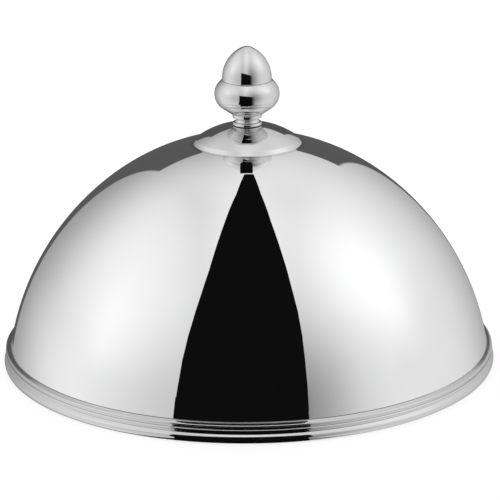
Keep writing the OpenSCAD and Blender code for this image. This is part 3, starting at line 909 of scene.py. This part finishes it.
def dome_inside(rim, dome, at):
    """The rest of the dome's section: round the curl, up the inside and back to the hole."""
    flat_end = -math.pi + math.asin(at.bead_z / rim.bead_r)
    outer_gap = math.asin(rim.curl_gap / 2 / rim.bead_r)
    bore_gap = math.asin(rim.curl_gap / 2 / rim.bore_r)
    curl_end = rim.curl_angle - FULL_TURN
    bead = (at.bead_x, at.bead_z)
    band_meet = math.acos((at.band_inner_r - at.bead_x) / rim.bead_r)
    side_r = dome.side_r - dome.sheet_t
    crown_r = dome.crown_r - dome.sheet_t
    edge_r = dome.boss_edge_r - dome.sheet_t
    cap_r = dome.boss_cap_r - dome.sheet_t
    boss_r = dome.boss_r - dome.sheet_t
    wall_x = at.side_x + math.sqrt(side_r**2 - (at.ledge_z - at.side_z)**2)
    wall_start_x = at.side_x + math.sqrt(side_r**2 - (at.wall_start_z - at.side_z)**2)
    side_start = math.asin((at.wall_start_z - at.side_z) / side_r)
    crown_x = boss_r + dome.boss_edge_r
    crown_end = at.crown_z + math.sqrt(crown_r**2 - crown_x**2)
    boss_root = at.crown_z + math.sqrt(crown_r**2 - boss_r**2)
    seat_z = at.seat_z - dome.sheet_t
    seat_r = math.sqrt(cap_r**2 - (seat_z - at.cap_z)**2)
    return joined(
        arc(bead, rim.bead_r, flat_end, curl_end + outer_gap),
        arc(bead, rim.bore_r, curl_end + bore_gap, rim.curl_angle - bore_gap, HIDDEN_STEP),
        arc(bead, rim.bead_r, rim.curl_angle - outer_gap, band_meet),
        held(rounded([
            (at.band_inner_r, at.bead_z + rim.bead_r * math.sin(band_meet), 0.0),
            (at.band_inner_r, at.ledge_in_z, rim.crease_r),
            (wall_x, at.ledge_z, rim.crease_r),
            (wall_start_x, at.wall_start_z, 0.0),
        ])),
        arc((at.side_x, at.side_z), side_r, side_start, at.join, FINE_STEP),
        arc((0.0, at.crown_z), crown_r, at.join, math.acos(crown_x / crown_r), FINE_STEP),
        held(rounded([
            (crown_x, crown_end, 0.0),
            (boss_r, boss_root, dome.boss_edge_r),
            (boss_r, at.boss_edge_z, 0.0),
        ])),
        arc((at.boss_edge_x, at.boss_edge_z), edge_r, 0.0, at.cap_end),
        arc((0.0, at.cap_z), cap_r, at.cap_end, math.acos(seat_r / cap_r), FINE_STEP),
        held([(seat_r, seat_z), (dome.hole_r, seat_z), (dome.hole_r, at.seat_z)]),
    )


class COVER_OT_dome(bpy.types.Operator):
    """Turn the spun dome with its boss, stepped rim and rolled bead"""

    bl_idname = "cover.dome"
    bl_label = "Dome"

    def execute(self, context):
        scene = context.scene
        rim, dome, looks = scene.cover_rim, scene.cover_dome, scene.cover_looks
        at = cover_levels(scene)
        runs = [boss_outside(dome, at), dome_outside(rim, dome, at), crease_line(rim, dome, at)[1:-1],
                ledge_outside(rim, dome, at), rim_outside(rim, at), dome_inside(rim, dome, at)]
        # The third finish paints shade into the wall's crease.
        finishes = [soft_steel(looks), mirror_steel(looks), painted_crease_shade(looks), ledge_steel(looks),
                    rim_steel(looks), satin_steel(looks)]
        piece = turned("spun_dome", runs, DOME_TURNS, finishes)
        placed(piece, "dome", "dome_shell")
        return {"FINISHED"}


class COVER_OT_knob(bpy.types.Operator):
    """Turn the acorn, the cup, the stem and the foot ring of the knob"""

    bl_idname = "cover.knob"
    bl_label = "Knob"

    def execute(self, context):
        scene = context.scene
        knob, looks = scene.cover_knob, scene.cover_looks
        at = cover_levels(scene)
        steel = soft_steel(looks)
        for name, section, body, node in [
            ("acorn_top", self.acorn, "knob", "knob_acorn"),
            ("acorn_cup", self.cup, "knob", "knob_cup"),
            ("turned_stem", self.stem, "knob", "knob_stem"),
            ("foot_ring", self.foot, "foot", "knob_foot"),
        ]:
            piece = turned(name, [section(knob, at)], KNOB_TURNS, [steel])
            placed(piece, body, node)
        return {"FINISHED"}

    @staticmethod
    def acorn(knob, at):
        """Section of the acorn from its tip round its edge and spigot to its hollow inside."""
        inner_tip_r = knob.acorn_tip_r - knob.shell_t
        inner_arc_r = knob.acorn_arc_r - knob.shell_t
        bore_r = knob.spigot_r - knob.shell_t
        edge_x = knob.acorn_r - knob.acorn_rim_r
        return joined(
            arc((0.0, at.tip_z), knob.acorn_tip_r, QUARTER, at.tip_join, FINE_STEP),
            arc((at.acorn_x, at.acorn_z), knob.acorn_arc_r, at.tip_join, 0.0, LARGE_STEP),
            arc((edge_x, at.seam_z + knob.acorn_rim_r), knob.acorn_rim_r, 0.0, -QUARTER),
            held(rounded([
                (edge_x, at.seam_z, 0.0),
                (knob.spigot_r, at.seam_z, 0.0),
                (knob.spigot_r, at.seam_z - knob.spigot_h, knob.fine_edge_r),
                (bore_r, at.seam_z - knob.spigot_h, knob.fine_edge_r),
                (bore_r, at.acorn_z, 0.0),
                (at.acorn_x + inner_arc_r, at.acorn_z, 0.0),
            ])),
            arc((at.acorn_x, at.acorn_z), inner_arc_r, 0.0, at.tip_join, FINE_STEP),
            arc((0.0, at.tip_z), inner_tip_r, at.tip_join, QUARTER, FINE_STEP),
        )

    @staticmethod
    def cup(knob, at):
        """Section of the cup from its lip down its side and cone, and back up the inside."""
        lip_meet = math.acos((knob.lip_r - at.cup_x) / knob.cup_arc_r)
        inner_r = knob.cup_arc_r - knob.shell_t
        mouth_meet = math.acos((knob.mouth_r - at.cup_x) / inner_r)
        mouth_foot = at.cup_wide_z + inner_r * math.sin(mouth_meet)
        cone = at.cup_cone - QUARTER
        wide = (at.cup_x, at.cup_wide_z)
        inner_floor_z = at.cup_z + knob.shell_t
        foot_x, foot_z = on_arc(wide, inner_r, cone)
        inner_floor_r = foot_x - (foot_z - inner_floor_z) / math.tan(at.cup_cone)
        return joined(
            held(rounded([
                (knob.mouth_r, at.seam_z, 0.0),
                (knob.lip_r, at.seam_z, knob.fine_edge_r),
                (knob.lip_r, at.cup_wide_z + knob.cup_arc_r * math.sin(lip_meet), 0.0),
            ])),
            arc(wide, knob.cup_arc_r, lip_meet, cone, FINE_STEP),
            held(rounded([
                (*on_arc(wide, knob.cup_arc_r, cone), 0.0),
                (knob.cup_floor_r, at.cup_z, knob.collar_edge_r),
                (knob.cup_bore_r, at.cup_z, 0.0),
                (knob.cup_bore_r, inner_floor_z, 0.0),
                (inner_floor_r, inner_floor_z, 0.0),
                (foot_x, foot_z, 0.0),
            ])),
            arc(wide, inner_r, cone, mouth_meet, FINE_STEP),
            held([(knob.mouth_r, mouth_foot), (knob.mouth_r, at.seam_z)]),
        )

    @staticmethod
    def stem(knob, at):
        """Section of the stem with its lip, hollowed neck and collar."""
        edge_x = knob.collar_r - knob.collar_edge_r
        neck_z = at.neck_z + knob.end_play
        hollow = (knob.hollow_x, at.neck_z + knob.neck_h / 2)
        low = math.pi + math.asin((hollow[1] - neck_z) / knob.hollow_r)
        high = math.pi - math.asin((at.collar_z - hollow[1]) / knob.hollow_r)
        lip_z = at.foot_z + knob.stem_lip_z
        top_z = at.cup_z + knob.shell_t + knob.stem_top_h
        lead_r = knob.fine_edge_r * 2
        return joined(
            held(rounded([
                (knob.stem_bore_r, lip_z, 0.0),
                (knob.stem_lip_r, lip_z, knob.fine_edge_r),
                (knob.stem_lip_r, lip_z + knob.stem_lip_h, knob.fine_edge_r),
                (knob.stem_r, lip_z + knob.stem_lip_h, 0.0),
                (knob.stem_r, neck_z, 0.0),
                (hollow[0] + knob.hollow_r * math.cos(low), neck_z, 0.0),
            ])),
            arc(hollow, knob.hollow_r, low, high),
            held([(hollow[0] + knob.hollow_r * math.cos(high), at.collar_z), (edge_x, at.collar_z)]),
            arc((edge_x, at.collar_z + knob.collar_edge_r), knob.collar_edge_r, -QUARTER, 0.0),
            arc((edge_x, at.cup_z - knob.collar_edge_r), knob.collar_edge_r, 0.0, QUARTER),
            held(rounded([
                (edge_x, at.cup_z, 0.0),
                (knob.stem_top_r, at.cup_z, 0.0),
                (knob.stem_top_r, top_z, lead_r),
                (knob.stem_bore_r, top_z, lead_r),
                (knob.stem_bore_r, lip_z, 0.0),
            ])),
        )

    @staticmethod
    def foot(knob, at):
        """Section of the foot ring with the recess for the stem's lip."""
        top_z = at.foot_z + knob.foot_h
        recess_z = at.foot_z + knob.foot_recess_h
        return held(rounded([
            (knob.foot_recess_r, at.foot_z, 0.0),
            (knob.foot_r, at.foot_z, knob.fine_edge_r),
            (knob.foot_r, top_z, knob.foot_edge_r),
            (knob.foot_bore_r, top_z, knob.fine_edge_r),
            (knob.foot_bore_r, recess_z, 0.0),
            (knob.foot_recess_r, recess_z, 0.0),
            (knob.foot_recess_r, at.foot_z, 0.0),
        ]))


def ring_line(bore, outside, bottom, height, edge):
    """Section of a flat ring with rounded edges."""
    middle = (bore + outside) / 2
    top = bottom + height
    return held(rounded([
        (middle, bottom, 0.0), (outside, bottom, edge), (outside, top, edge),
        (bore, top, edge), (bore, bottom, edge), (middle, bottom, 0.0),
    ]))


def new_piece(name, vertices, faces, material):
    """A piece from its points and faces, smooth between its sharp edges."""
    return smooth(new_object(name, vertices, faces, material), FASTENER_SHARP)


def grid_faces(rows, columns, round_rows=False, round_columns=True):
    """Faces of a grid of points, whose rows and columns may run round."""
    faces = []
    for row in range(rows if round_rows else rows - 1):
        above = (row + 1) % rows
        for column in range(columns if round_columns else columns - 1):
            ahead = (column + 1) % columns
            faces.append((row * columns + column, row * columns + ahead,
                          above * columns + ahead, above * columns + column))
    return faces


class COVER_OT_fasteners(bpy.types.Operator):
    """Make the screw, the nut, the washers and the gaskets, and finish the wire"""

    bl_idname = "cover.fasteners"
    bl_label = "Fasteners and gaskets"

    def execute(self, context):
        scene = context.scene
        looks, sizes = scene.cover_looks, scene.cover_fasteners
        knob, dome = scene.cover_knob, scene.cover_dome
        at = cover_levels(scene)
        plain = fastener_steel(looks, "Plain fastener steel", looks.fastener)
        rubber = gasket_rubber(looks)
        bore, soft_edge = sizes.washer_bore_r, sizes.gasket_edge_r
        backing = (bore, sizes.backing_r, at.backing_z, sizes.backing_h, sizes.washer_edge_r)
        inner = (bore, sizes.inner_gasket_r, at.inner_gasket_z, sizes.inner_gasket_h, soft_edge)
        outer = (dome.hole_r, knob.gasket_r, at.seat_z, knob.gasket_h, soft_edge)
        for name, ring, material, body, slot, node in [
            ("backing_ring", backing, plain, "dome", "fastener_steel", "backing_washer"),
            ("inner_seal", inner, rubber, "dome", "gasket_rubber", "inner_gasket"),
            ("foot_seal", outer, rubber, "foot", "gasket_rubber", "foot_gasket"),
        ]:
            piece = turned(name, [ring_line(*ring)], SMALL_TURNS, [material])
            placed(piece, body, node)
        placed(self.lock_ring(sizes, at, plain), "dome", "lock_washer")
        placed(self.nut(sizes, at, plain), "knob", "stem_nut")
        placed(self.screw(sizes, at, plain), "dome", "knob_screw")
        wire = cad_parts["rim_wire"].data
        wire.materials.clear()
        wire.materials.append(fastener_steel(looks, "Drawn wire", looks.wire))
        return {"FINISHED"}

    @staticmethod
    def lock_ring(sizes, at, material):
        """The split lock washer, with slanted cut ends."""
        bore, edge = sizes.washer_bore_r, sizes.washer_edge_r
        section = ring_line(bore, sizes.lock_r, at.lock_z, sizes.lock_h, edge)[:-1]
        middle_z = at.lock_z + sizes.lock_h / 2
        vertices, faces = [], []
        for turn in range(SMALL_TURNS + 1):
            share = turn / SMALL_TURNS
            for radius, height in section:
                gap = math.asin(sizes.lock_gap / 2 / radius)
                slant = (height - middle_z) * math.tan(sizes.lock_slant) / radius
                start, end = gap + max(slant, 0.0), FULL_TURN - gap + min(slant, 0.0)
                spin = start + (end - start) * share
                vertices.append(spun(radius, spin, height))
        count = len(section)
        for turn in range(SMALL_TURNS):
            for point in range(count):
                ahead = (point + 1) % count
                first, second = turn * count, (turn + 1) * count
                faces.append((first + point, second + point, second + ahead, first + ahead))
        faces.append(tuple(range(count)))
        faces.append(tuple(SMALL_TURNS * count + point for point in reversed(range(count))))
        return new_piece("split_lock_ring", vertices, faces, material)

    @staticmethod
    def nut(sizes, at, material):
        """The hexagon nut, with its corners chamfered to a round face above and below."""
        half = sizes.nut_flats / 2
        face_r = half - sizes.nut_face
        bore, lead = sizes.nut_bore_r, sizes.nut_lead
        bottom, top = at.nut_z, at.nut_z + sizes.nut_h
        vertices, columns = [], []
        for turn in range(SMALL_TURNS):
            spin = FULL_TURN * turn / SMALL_TURNS
            across = half / math.cos(spin % NUT_SECTOR - NUT_SECTOR / 2)
            fall = (across - face_r) * math.tan(sizes.nut_slope)
            columns.append((spin, [
                (bore, bottom + lead), (bore + lead, bottom), (face_r, bottom), (across, bottom + fall),
                (across, top - fall), (face_r, top), (bore + lead, top), (bore, top - lead),
            ]))
        rows = len(columns[0][1])
        for row in range(rows):
            for spin, line in columns:
                radius, height = line[row]
                vertices.append(spun(radius, spin, height))
        return new_piece("hexagon_nut", vertices, grid_faces(rows, SMALL_TURNS, True), material)

    def screw(self, sizes, at, material):
        """The pan head screw: a slotted head and a threaded shank in one piece."""
        head = self.head(sizes, at, material)
        shank = self.shank(sizes, at, material)
        with bpy.context.temp_override(active_object=head, selected_editable_objects=[head, shank]):
            bpy.ops.object.join()
        return head

    @staticmethod
    def head(sizes, at, material):
        """The head with its crossed slots cut in and their edges broken."""
        edge_r = sizes.head_edge_r
        line = joined(
            [(0.0, at.head_z)],
            arc((sizes.head_r - edge_r, at.head_z + edge_r), edge_r, -QUARTER, 0.0),
            held([(sizes.head_r, at.head_z + edge_r), (sizes.head_r, at.lock_z)]),
            [(0.0, at.lock_z)],
        )
        head = turned("pan_head_screw", [line], SMALL_TURNS, [material])
        levels = [at.head_z - sizes.slot_h, at.head_z + sizes.slot_h]
        reach, half = sizes.slot_len / 2, sizes.slot_w / 2
        outline = [
            (reach, -half), (reach, half), (half, half), (half, reach), (-half, reach), (-half, half),
            (-reach, half), (-reach, -half), (-half, -half), (-half, -reach), (half, -reach), (half, -half),
        ]
        count = len(outline)
        corners = [(x, y, level) for level in levels for x, y in outline]
        sides = grid_faces(len(levels), count)
        sides += [tuple(reversed(range(count))), tuple(range(count, len(corners)))]
        cutter = new_piece("crossed_slots", corners, sides, material)
        cut = head.modifiers.new("Slots", "BOOLEAN")
        cut.operation = "DIFFERENCE"
        cut.solver = "EXACT"
        cut.object = cutter
        broken = head.modifiers.new("Broken edges", "BEVEL")
        broken.width = sizes.slot_edge
        broken.segments = EDGE_SEGMENTS
        broken.limit_method = "ANGLE"
        broken.angle_limit = BROKEN_ANGLE
        bpy.context.view_layer.update()
        made = bpy.data.meshes.new_from_object(head.evaluated_get(bpy.context.evaluated_depsgraph_get()))
        head.modifiers.clear()
        head.data = made
        made.set_sharp_from_angle(angle=FASTENER_SHARP)
        bpy.data.objects.remove(cutter)
        return head

    @staticmethod
    def shank(sizes, at, material):
        """The shank with its rolled thread, which runs out at both ends."""
        bottom = at.lock_z - sizes.head_edge_r
        top = at.lock_z + sizes.screw_len
        rows = math.ceil((top - bottom) / sizes.pitch * THREAD_ROWS)
        core = sizes.thread_r - sizes.thread_h
        vertices = [(0.0, 0.0, bottom), (0.0, 0.0, top)]
        first = len(vertices)
        for row in range(rows + 1):
            height = bottom + (top - bottom) * row / rows
            taper = min(1.0, (top - height) / sizes.screw_end)
            start = min(1.0, max(0.0, (height - at.lock_z) / sizes.pitch))
            for turn in range(THREAD_TURNS):
                spin = FULL_TURN * turn / THREAD_TURNS
                wave = (1.0 + math.cos(height / sizes.pitch * FULL_TURN - spin)) / 2
                crest = sizes.thread_h * wave**THREAD_POWER * start
                radius = (core + crest) * (END_SHARE + (1.0 - END_SHARE) * taper)
                vertices.append(spun(radius, spin, height))
        faces = [tuple(first + corner for corner in face) for face in grid_faces(rows + 1, THREAD_TURNS)]
        last = first + rows * THREAD_TURNS
        for turn in range(THREAD_TURNS):
            ahead = (turn + 1) % THREAD_TURNS
            faces.append((0, first + ahead, first + turn))
            faces.append((1, last + turn, last + ahead))
        return new_piece("threaded_shank", vertices, faces, material)


# Edges of the black flag and its tab: the angle over the top, and their left and right edges, in degrees
FLAG_EDGES = [
    (3.0, -34.8, 27.2), (15.0, -33.2, 26.9), (27.0, -31.1, 25.9), (38.0, -28.1, 24.5),
    (48.5, -24.4, 22.3), (67.0, -17.2, 16.8), (90.0, -9.3, 9.2), (107.5, -4.0, 4.6), (121.9, -1.0, 1.8),
]
TAB_EDGES = [(122.6, -2.3, 1.6), (128.5, -2.15, 1.5), (130.6, -2.05, 1.1), (131.8, -1.95, 0.5)]
FLAG_COLUMNS = 24
TAB_COLUMNS = 2
FLAG_ROWS = 6
MIRROR_TRIES = 12

# How far the flag and its tab stand off the metal
FLAG_OFF_TOP = 0.004
FLAG_OFF_RIM = 0.0015
TAB_OFF = 0.001

# The black cloth on the table: the angles of its sides, its place in front and its height there
CLOTH_LEFT = -34.9
CLOTH_RIGHT = 27.1
CLOTH_COLUMNS = 24
CLOTH_FRONT = 0.162
CLOTH_RISE = 0.028
CLOTH_LIFT = 0.0002
CLOTH_SPREAD_SHARE = 0.98
CLOTH_UNDER = 0.0035
CLOTH_CLEAR = 0.004

# The table and the camera
TABLE_HALF = 4.0
TABLE_ROUGH = 0.9
TABLE_GLOW = 0.7
SENSOR_W = 36.0
CLIP_END = 100.0
MATRIX_SIZE = 4

# How the brightness of the light tent is worked out
PANEL_VALUES = ["edge", "seam", "front", "front_power", "back", "back_power", "back_start", "back_end",
                "glow", "glow_side", "glow_over", "glow_wide", "glow_deep"]
PANEL_OVERLAP = 0.2
GLOW_END = 0.4
SHADE_POWER = 2.2
WHITE = (1.0, 1.0, 1.0, 1.0)


def facing_point(dome, at, normal):
    """The point of the dome's outside that faces along a normal."""
    flat = math.hypot(normal.x, normal.y)
    rise = math.atan2(normal.z, flat)
    if rise > at.join:
        radius, height = on_arc((0.0, at.crown_z), dome.crown_r, rise)
    else:
        radius, height = on_arc((at.side_x, at.side_z), dome.side_r, rise)
    return Vector((normal.x / flat * radius, normal.y / flat * radius, height))


def mirrored_point(dome, at, eye, way):
    """The point of the dome at which the camera sees the mirror image of what lies in a direction."""
    view = eye.normalized()
    for _ in range(MIRROR_TRIES):
        point = facing_point(dome, at, (way + view).normalized())
        view = (eye - point).normalized()
    return point


def direction(over, side):
    """A direction from an angle over the top and an angle to the side, in degrees."""
    rise, turn = math.radians(over), math.radians(side)
    return Vector((math.sin(turn), -math.cos(turn) * math.cos(rise), math.cos(turn) * math.sin(rise)))


def flag_rows(edges):
    """Rows of a flag between its given edges."""
    rows = [Vector(edges[0])]
    for lower, upper in zip(edges, edges[1:]):
        rows += [Vector(lower).lerp(Vector(upper), (step + 1) / FLAG_ROWS) for step in range(FLAG_ROWS)]
    return rows


def bent_rows(scene, eye, edges, columns, top_off, rim_off):
    """Rows of points of a flag that is bent over the dome, off the metal by a little."""
    dome, at = scene.cover_dome, cover_levels(scene)
    rows = []
    for over, left, right in flag_rows(edges):
        row = []
        for column in range(columns + 1):
            way = direction(over, left + (right - left) * column / columns)
            point = mirrored_point(dome, at, eye, way)
            out = math.hypot(point.x, point.y) / RIM_R
            row.append(point + way * (top_off + (rim_off - top_off) * out))
        rows.append(row)
    return rows


def black_cloth(studio):
    """Black cloth that sends back next to no light."""
    name = "Black cloth"
    if name in bpy.data.materials:
        return bpy.data.materials[name]
    material, wiring, shader = new_material(name)
    wiring.tree.nodes.remove(shader)
    glow = wiring.node("ShaderNodeEmission")
    glow.inputs["Strength"].default_value = studio.black
    wiring.feed(wiring.tree.nodes["Material Output"].inputs["Surface"], glow.outputs[0])
    return material


def dark_sheet(studio, name, rows):
    """A sheet of black cloth through rows of points, which only shows in the metal."""
    points = [point for row in rows for point in row]
    faces = grid_faces(len(rows), len(rows[0]), round_columns=False)
    sheet = new_object(name, points, faces, black_cloth(studio))
    sheet.visible_camera = False
    sheet.visible_diffuse = False
    sheet.visible_shadow = False
    sheet.visible_transmission = False


def bell(wiring, value, centre, spread):
    """A bell curve that is one at its centre."""
    away = wiring.math("DIVIDE", wiring.less(value, centre), spread)
    return wiring.math("EXPONENT", wiring.times(away, away, -1.0))


def panel(wiring, over, side, slope, studio, hand):
    """Brightness of one side's panel by the angle over the top and the angle to the side."""
    given = SimpleNamespace(**{name: getattr(studio, f"{hand}_{name}") for name in PANEL_VALUES})
    seam = wiring.times(
        bell(wiring, wiring.math("ABSOLUTE", side), studio.seam_side, studio.seam_wide),
        wiring.ramp(over, studio.seam_end, studio.seam_full),
        given.seam,
    )
    eased = wiring.times(bell(wiring, side, 0.0, studio.relief_wide), studio.relief_share)
    front = wiring.times(
        wiring.math("POWER", slope, given.front_power),
        given.front,
        wiring.less(1.0, eased),
        bell(wiring, over, 0.0, studio.front_reach),
    )
    far = wiring.times(
        wiring.ramp(over, given.back_start, given.back_end),
        wiring.ramp(over, studio.wrap_low + FULL_TURN, studio.below_back),
    )
    back = wiring.times(wiring.math("POWER", slope, given.back_power), given.back, far)
    glow = wiring.times(
        bell(wiring, side, given.glow_side, given.glow_wide),
        bell(wiring, over, given.glow_over, given.glow_deep),
        wiring.ramp(slope, 0.0, GLOW_END),
        given.glow,
    )
    bright = wiring.less(wiring.less(wiring.less(given.edge, seam), front), back)
    return wiring.math("MAXIMUM", wiring.plus(bright, glow), 0.0)


def slit(wiring, over, side, studio):
    """A mask of the dark slit in front, which fades at its right edge."""
    soft, softer = studio.edge_blur, studio.edge_blur * 2
    level = wiring.less(over, wiring.times(side, studio.slit_tilt))
    return wiring.times(
        wiring.ramp(side, studio.slit_left - soft, studio.slit_left + soft),
        wiring.ramp(side, studio.slit_right + studio.slit_fade, studio.slit_right),
        wiring.ramp(level, studio.slit_top + softer, studio.slit_top - softer),
    )


def rear_gap(wiring, over, side, studio):
    """A mask of the gap behind, whose right edge draws in towards the table."""
    soft = studio.edge_blur
    level = wiring.less(over, wiring.times(side, studio.rear_tilt))
    drawn = wiring.times(wiring.less(over, studio.rear_start), studio.rear_taper)
    return wiring.times(
        wiring.ramp(level, studio.rear_start - soft, studio.rear_start + soft),
        wiring.ramp(side, studio.rear_left - soft, studio.rear_left + soft),
        wiring.ramp(wiring.plus(side, drawn), studio.rear_right + soft, studio.rear_right - soft),
    )


class COVER_OT_stage(bpy.types.Operator):
    """Set the table, the soft light, the black flag and the camera"""

    bl_idname = "cover.stage"
    bl_label = "Stage"

    def execute(self, context):
        scene = context.scene
        studio = scene.cover_studio
        self.table(studio)
        eye = self.camera(scene, studio)
        self.flag(scene, studio, eye)
        self.cloth(scene, studio, eye)
        self.tent(scene, studio)
        scene.view_settings.view_transform = "Standard"
        return {"FINISHED"}

    @staticmethod
    def camera(scene, studio):
        """The camera at the photograph's place."""
        data = bpy.data.cameras.new("camera")
        data.lens = studio.camera_lens
        data.sensor_width = SENSOR_W
        data.clip_end = CLIP_END
        camera = bpy.data.objects.new("camera", data)
        scene.collection.objects.link(camera)
        place = Vector((0.0, -studio.camera_back, studio.camera_h))
        turn = (
            Matrix.Rotation(studio.camera_yaw, MATRIX_SIZE, "Z")
            @ Matrix.Rotation(QUARTER - studio.camera_pitch, MATRIX_SIZE, "X")
            @ Matrix.Rotation(studio.camera_roll, MATRIX_SIZE, "Z")
        )
        camera.matrix_world = Matrix.Translation(place) @ turn
        scene.camera = camera
        return place

    @staticmethod
    def table(studio):
        """A pale table that stays white for the camera and keeps the cover's shadow."""
        material, wiring, shader = new_material("Pale table")
        shader.inputs["Base Color"].default_value = studio.floor
        shader.inputs["Roughness"].default_value = TABLE_ROUGH
        shader.inputs["Specular IOR Level"].default_value = 0.0
        ray = wiring.node("ShaderNodeLightPath")
        glow = wiring.node("ShaderNodeEmission")
        wiring.feed(glow.inputs["Strength"], wiring.times(ray.outputs["Is Camera Ray"], TABLE_GLOW))
        both = wiring.node("ShaderNodeAddShader", shader.outputs[0], glow.outputs[0])
        wiring.feed(wiring.tree.nodes["Material Output"].inputs["Surface"], both.outputs[0])
        signs = [(-1, -1), (1, -1), (1, 1), (-1, 1)]
        corners = [(across * TABLE_HALF, deep * TABLE_HALF, 0.0) for across, deep in signs]
        table = new_object("table", corners, [tuple(range(len(corners)))], material)
        table.visible_glossy = False

    @staticmethod
    def flag(scene, studio, eye):
        """A black flag with a tab, bent over the front of the dome, which only the metal sees."""
        tab = bent_rows(scene, eye, TAB_EDGES, TAB_COLUMNS, TAB_OFF, TAB_OFF)
        dark_sheet(studio, "black_tab", tab)
        flag = bent_rows(scene, eye, FLAG_EDGES, FLAG_COLUMNS, FLAG_OFF_TOP, FLAG_OFF_RIM)
        dark_sheet(studio, "black_flag", flag)

    @staticmethod
    def cloth(scene, studio, eye):
        """A black cloth on the table before the rim, turned up in front, which only the metal sees."""
        dome, at = scene.cover_dome, cover_levels(scene)
        lift = Vector((0.0, 0.0, CLOTH_LIFT))
        columns = []
        for column in range(CLOTH_COLUMNS + 1):
            way = direction(0.0, CLOTH_LEFT + (CLOTH_RIGHT - CLOTH_LEFT) * column / CLOTH_COLUMNS)
            point = mirrored_point(dome, at, eye, way)
            spin = math.atan2(point.x, -point.y) * CLOTH_SPREAD_SHARE
            out = Vector((math.sin(spin), -math.cos(spin), 0.0))
            reach = (-CLOTH_FRONT - point.y) / way.y
            end_x = point.x + way.x * reach
            columns.append([
                out * (RIM_R - CLOTH_UNDER) + lift,
                out * (RIM_R + CLOTH_CLEAR) + lift,
                Vector((end_x, -CLOTH_FRONT, CLOTH_LIFT)),
                Vector((end_x, -CLOTH_FRONT, CLOTH_RISE)),
            ])
        dark_sheet(studio, "black_cloth", list(zip(*columns)))

    @staticmethod
    def tent(scene, studio):
        """Soft panels all round, with a dark slit in front and a grey gap behind."""
        world = bpy.data.worlds.new("Light tent")
        scene.world = world
        world.use_nodes = True
        wiring = Wiring(world.node_tree)
        across, deep, up = wiring.parts(wiring.place("Generated"))
        side = wiring.math("ARCSINE", across)
        slope = wiring.math("COSINE", side)
        over = wiring.math("ARCTAN2", up, wiring.times(deep, -1.0))
        over = wiring.math("WRAP", over, studio.wrap_low + FULL_TURN, studio.wrap_low)
        left, right = [panel(wiring, over, side, slope, studio, hand) for hand in ("left", "right")]
        bright = wiring.blend(wiring.ramp(across, -PANEL_OVERLAP, PANEL_OVERLAP), left, right)
        middle = wiring.times(
            bell(wiring, side, 0.0, studio.middle_wide),
            wiring.ramp(over, studio.middle_start, studio.middle_full),
            wiring.ramp(over, studio.middle_end, studio.middle_full),
            studio.middle_gain,
        )
        bright = wiring.math("POWER", wiring.plus(bright, middle), SHADE_POWER)
        bright = wiring.times(bright, studio.panel_gain)
        bright = wiring.blend(rear_gap(wiring, over, side, studio), bright, studio.rear_grey)
        bright = wiring.blend(slit(wiring, over, side, studio), bright, studio.black)
        ray = wiring.node("ShaderNodeLightPath")
        seen = wiring.blend(ray.outputs["Is Glossy Ray"], studio.room_light, bright)
        seen = wiring.blend(ray.outputs["Is Camera Ray"], seen, 1.0)
        background = world.node_tree.nodes["Background"]
        background.inputs["Color"].default_value = WHITE
        wiring.feed(background.inputs["Strength"], seen)


class COVER_PT_panel(bpy.types.Panel):
    """The cover's pieces and sizes in the sidebar"""

    bl_idname = "COVER_PT_panel"
    bl_label = "Food cover"
    bl_space_type = "VIEW_3D"
    bl_region_type = "UI"
    bl_category = "Food cover"

    def draw(self, context):
        for operator in OPERATORS:
            self.layout.operator(operator.bl_idname)
        for label in SETTINGS:
            group = getattr(context.scene, label)
            box = self.layout.box()
            for name in group.__annotations__:
                box.prop(group, name)


SETTINGS = {
    "cover_rim": RimSizes,
    "cover_dome": DomeSizes,
    "cover_knob": KnobSizes,
    "cover_fasteners": FastenerSizes,
    "cover_looks": FinishLooks,
    "cover_studio": StudioLooks,
}
OPERATORS = [COVER_OT_dome, COVER_OT_knob, COVER_OT_fasteners, COVER_OT_stage]


def register():
    """Registers the settings, the operators and the panel."""
    for label, group in SETTINGS.items():
        bpy.utils.register_class(group)
        setattr(bpy.types.Scene, label, bpy.props.PointerProperty(type=group))
    for operator in OPERATORS:
        bpy.utils.register_class(operator)
    bpy.utils.register_class(COVER_PT_panel)


def unregister():
    """Takes the panel, the operators and the settings away again."""
    bpy.utils.unregister_class(COVER_PT_panel)
    for operator in reversed(OPERATORS):
        bpy.utils.unregister_class(operator)
    for label, group in reversed(SETTINGS.items()):
        delattr(bpy.types.Scene, label)
        bpy.utils.unregister_class(group)


def main():
    """Builds the cover and its stage."""
    register()
    bpy.ops.cover.dome()
    bpy.ops.cover.knob()
    bpy.ops.cover.fasteners()
    bpy.ops.cover.stage()


if __name__ == "__main__":
    main()
